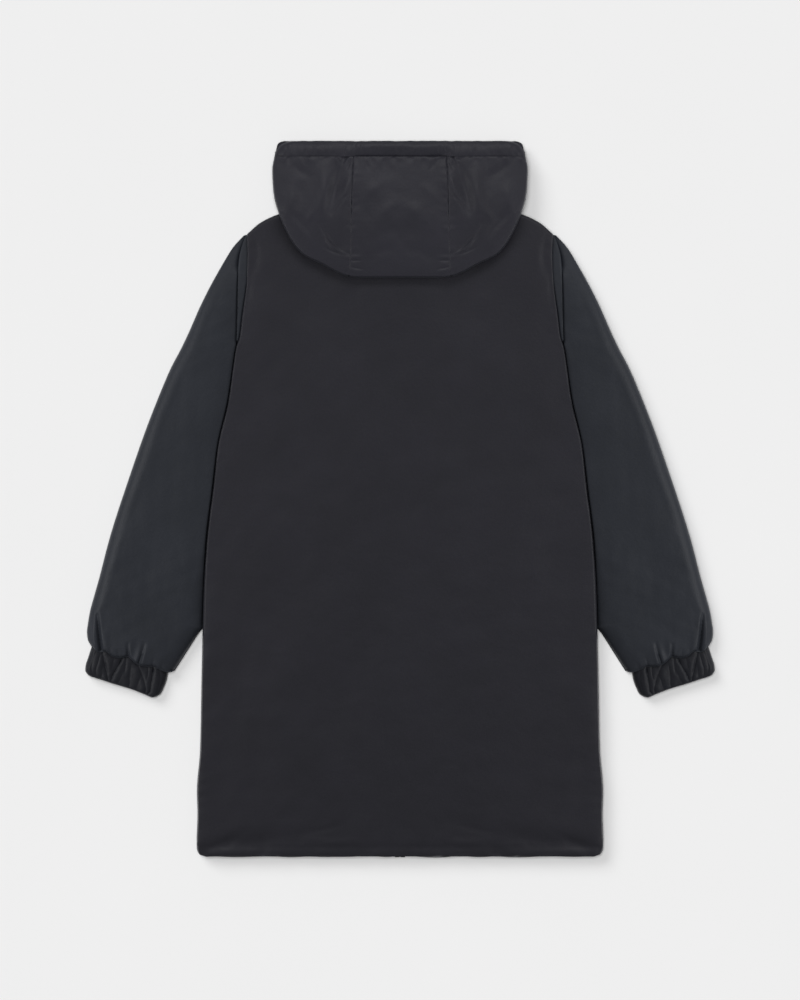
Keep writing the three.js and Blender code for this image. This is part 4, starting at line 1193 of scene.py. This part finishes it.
def make_slider():
    """The slider: two plates, the wedge between them, their flanges, and the ears that hold the pin."""
    nose, tail = SLIDER_ENDS
    middle, half_long = (nose + tail) / 2, (tail - nose) / 2
    boxes = [
        ((0, middle, 4.45), (5.6, half_long, 0.45)),
        ((0, middle, 8.65), (5.6, half_long, 0.55)),
        ((0, 349.8, 6.6), (4.4, 3.2, 2.4)),
    ]
    for side in (-1, 1):
        boxes.append(((side * 4.4, middle, 5.1), (1.2, half_long, 0.7)))
        boxes.append(((side * 4.4, middle, 8.2), (1.2, half_long, 1.0)))
        boxes.append(((side * 2.05, PIN_PLACE[0], 2.75), (0.55, 2, 1.55)))
    parts = [rounded_boxes(*map(np.array, box), 0.35) for box in boxes]
    parts.append(rounded_boxes((0, *PIN_PLACE), (2.4, 0.55, 0.55), 0.5))
    places, faces = joined(parts)
    narrow = mix(4.4 / 5.6, 1, smoothstep(places[:, 1], nose, nose + 6))
    places[:, 0] *= np.where(places[:, 2] > 3.6, narrow, 1)
    piece = finish_mesh("zip_slider_body", places, faces, zip_finish("black enamel on zinc"), 40)
    return dress(piece, ["zip_slider"])


def make_pull():
    """The pull tab: an eye round the slider's pin, a neck and a flat tab with a sunk face."""
    turn = np.linspace(0, 2 * pi, 28, endpoint=False)
    rows = np.linspace(-1.15, 1.15, 5)[:, None]
    rings = []
    for radius in (1.5, 0.9):
        soft = radius - 0.12 * (np.abs(rows) > 1) * (1 if radius > 1 else -1)
        ring = [rows + 0 * turn, PIN_PLACE[0] + soft * np.cos(turn), PIN_PLACE[1] + soft * np.sin(turn)]
        rings.append(np.stack(ring, -1))
    low, high = PIN_PLACE[1] - 0.7, PIN_PLACE[1] + 0.7
    neck_end = PIN_PLACE[0] - 3.6
    tip = PIN_PLACE[0] - 30
    neck = rounded_boxes((0, neck_end + 0.75, PIN_PLACE[1]), (1.15, 1.75, 0.7), 0.2)
    s, y = np.meshgrid(2 * spread(21, 0.6) - 1, mix(tip, neck_end, spread(50, 0.5)))
    half = 3 * np.sqrt(np.clip(1 - np.clip(1 - (y - tip + 0.15) / 3, 0, 1) ** 2, 0, 1))
    edge = np.minimum(np.minimum(half - np.abs(s) * half, y - tip), neck_end - y)
    soft = 0.3 * (1 - round_up(0.5, np.maximum(0, edge)))
    sunk = 0.3 * smoothstep(edge, 0.8, 1.1)
    tab = wall_mesh(s * half, y, high - soft - sunk, low + soft + sunk)
    places, faces = joined([tube_mesh(*rings), neck, tab])
    piece = finish_mesh("zip_pull_tab", places, faces, zip_finish("black enamel on zinc"), 40)
    return dress(piece, ["zip_pull"], PULL)


def make_stitches():
    """Top-stitching of the fronts beside the zip and along the hem, which shows from below."""
    along_zip = np.arange(-494, 296, STITCH_PITCH)
    along_hem = np.arange(ZIP_HALF + 10, 272, STITCH_PITCH)
    beside_zip = np.full_like(along_zip, ZIP_HALF + 8)
    above_hem = np.full_like(along_hem, HEM_Y + HEM_STITCH)
    rows, turns = [], []
    for side, _ in SIDES:
        rows += [(side * beside_zip, along_zip), (side * along_hem, above_hem)]
        turns += [0 * along_zip, pi / 2 + 0 * along_hem]
    x, y = np.concatenate(rows, 1)
    halves = np.tile([0.28, STITCH_PITCH * 0.38, 0.28], (len(x), 1))
    stitches = rounded_boxes(np.stack([x, y, np.full_like(x, 0.5)], -1), halves, 0.25, np.concatenate(turns))
    piece = finish_mesh("front_stitches", *stitches, zip_finish("woven polyester tape"))
    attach(piece, COAT)
    return piece


def add_light(name, kind, way, lit, **settings):
    """A light that shines from `way` on one group of objects."""
    lamp = bpy.data.lights.new(name, kind)
    for key, value in settings.items():
        setattr(lamp, key, value)
    light = bpy.data.objects.new(name, lamp)
    light.rotation_euler = (-Vector(way)).to_track_quat("-Z", "Y").to_euler()
    light.light_linking.receiver_collection = lit_group(lit)
    bpy.context.scene.collection.objects.link(light)
    return light


class PARKA_OT_body(Operator):
    """Make the back and the two fronts"""

    bl_idname = "parka.body"
    bl_label = "Back and fronts"

    def execute(self, context):
        make_back()
        for side, name in SIDES:
            make_front(side, "front_" + name)
        return {"FINISHED"}


class PARKA_OT_sleeves(Operator):
    """Make the two sleeves"""

    bl_idname = "parka.sleeves"
    bl_label = "Sleeves"

    def execute(self, context):
        for side, name in SIDES:
            make_sleeve(side, "sleeve_" + name)
        return {"FINISHED"}


class PARKA_OT_cuffs(Operator):
    """Make the two gathered cuffs"""

    bl_idname = "parka.cuffs"
    bl_label = "Cuffs"

    def execute(self, context):
        for side, name in SIDES:
            make_cuff(side, "cuff_" + name)
        return {"FINISHED"}


class PARKA_OT_hood(Operator):
    """Make the hood's panels"""

    bl_idname = "parka.hood"
    bl_label = "Hood"

    def execute(self, context):
        make_hood_centre()
        for side, name in SIDES:
            make_hood_side(side, "hood_side_" + name)
        make_casing()
        make_hood_layers()
        return {"FINISHED"}


class PARKA_OT_zip(Operator):
    """Make the zip, its slider and pull tab, and the stitching beside it"""

    bl_idname = "parka.zip"
    bl_label = "Zip"

    def execute(self, context):
        for side, name in SIDES:
            make_zip(side, "zip_" + name)
        make_slider()
        make_pull()
        make_stitches()
        return {"FINISHED"}


class PARKA_OT_stage(Operator):
    """Make the floor, the lights and the camera"""

    bl_idname = "parka.stage"
    bl_label = "Stage"

    def execute(self, context):
        scene = context.scene
        floor_mesh = bpy.data.meshes.new("floor")
        corners = [(x * FLOOR_HALF, y * FLOOR_HALF, 0) for x, y in ((-1, -1), (1, -1), (1, 1), (-1, 1))]
        floor_mesh.from_pydata(corners, [], [(0, 1, 2, 3)])
        board = plain_finish("satin painted board", colours().floor, 0.7, grain=3.0, depth=0, change=0.01)
        floor_mesh.materials.append(board)
        floor = bpy.data.objects.new("floor", floor_mesh)
        scene.collection.objects.link(floor)
        lit_group("board").objects.link(floor)
        world = bpy.data.worlds.new("pale studio")
        world.use_nodes = True
        background = world.node_tree.nodes["Background"].inputs
        background["Color"].default_value = (1, 1, 1, 1)
        background["Strength"].default_value = WORLD_STRENGTH
        scene.world = world
        for name, way, angle, power, lit in LIGHTS + dome_lights():
            add_light(name, "SUN", way, lit, angle=radians(angle), energy=power)
        for name, place, (wide, deep), power in SOFT_BOXES:
            face = {"shape": "RECTANGLE", "size": wide, "size_y": deep}
            lit = name if name in FAR_SIDES else "garment"
            box = add_light(name, "AREA", place, lit, **face, energy=power)
            box.location = place
            box.visible_camera = False
        camera = bpy.data.cameras.new("camera")
        sizes = scene.parka_sizes
        # A long lens, far above, so that the picture is as good as flat.
        camera.sensor_fit = "VERTICAL"
        camera.sensor_height = 24
        camera.lens = camera.sensor_height * sizes.view_distance / sizes.view_height
        camera.clip_end = 50
        seat = bpy.data.objects.new("camera", camera)
        middle_x, middle_y, middle_z = PICTURE_MIDDLE
        seat.location = (middle_x, middle_y, sizes.view_distance + middle_z)
        scene.collection.objects.link(seat)
        scene.camera = seat
        scene.view_settings.view_transform = "Standard"
        return {"FINISHED"}


class PARKA_PT_panel(Panel):
    """Sizes, colours and the steps that make the parka"""

    bl_idname = "PARKA_PT_panel"
    bl_label = "Parka"
    bl_space_type = "VIEW_3D"
    bl_region_type = "UI"
    bl_category = "Parka"

    def draw(self, context):
        for group in (context.scene.parka_sizes, context.scene.parka_colours):
            for name in group.__annotations__:
                self.layout.prop(group, name)
        for step in STEPS:
            self.layout.operator(step.bl_idname)


STEPS = (PARKA_OT_stage, PARKA_OT_body, PARKA_OT_sleeves, PARKA_OT_cuffs, PARKA_OT_hood, PARKA_OT_zip)
CLASSES = (ParkaColours, ParkaSizes, *STEPS, PARKA_PT_panel)


def register():
    for cls in CLASSES:
        bpy.utils.register_class(cls)
    bpy.types.Scene.parka_colours = PointerProperty(type=ParkaColours)
    bpy.types.Scene.parka_sizes = PointerProperty(type=ParkaSizes)


def unregister():
    del bpy.types.Scene.parka_sizes
    del bpy.types.Scene.parka_colours
    for cls in reversed(CLASSES):
        bpy.utils.unregister_class(cls)


def main():
    register()
    bpy.ops.parka.stage()
    bpy.ops.parka.body()
    bpy.ops.parka.sleeves()
    bpy.ops.parka.cuffs()
    bpy.ops.parka.hood()
    bpy.ops.parka.zip()


if __name__ == "__main__":
    main()
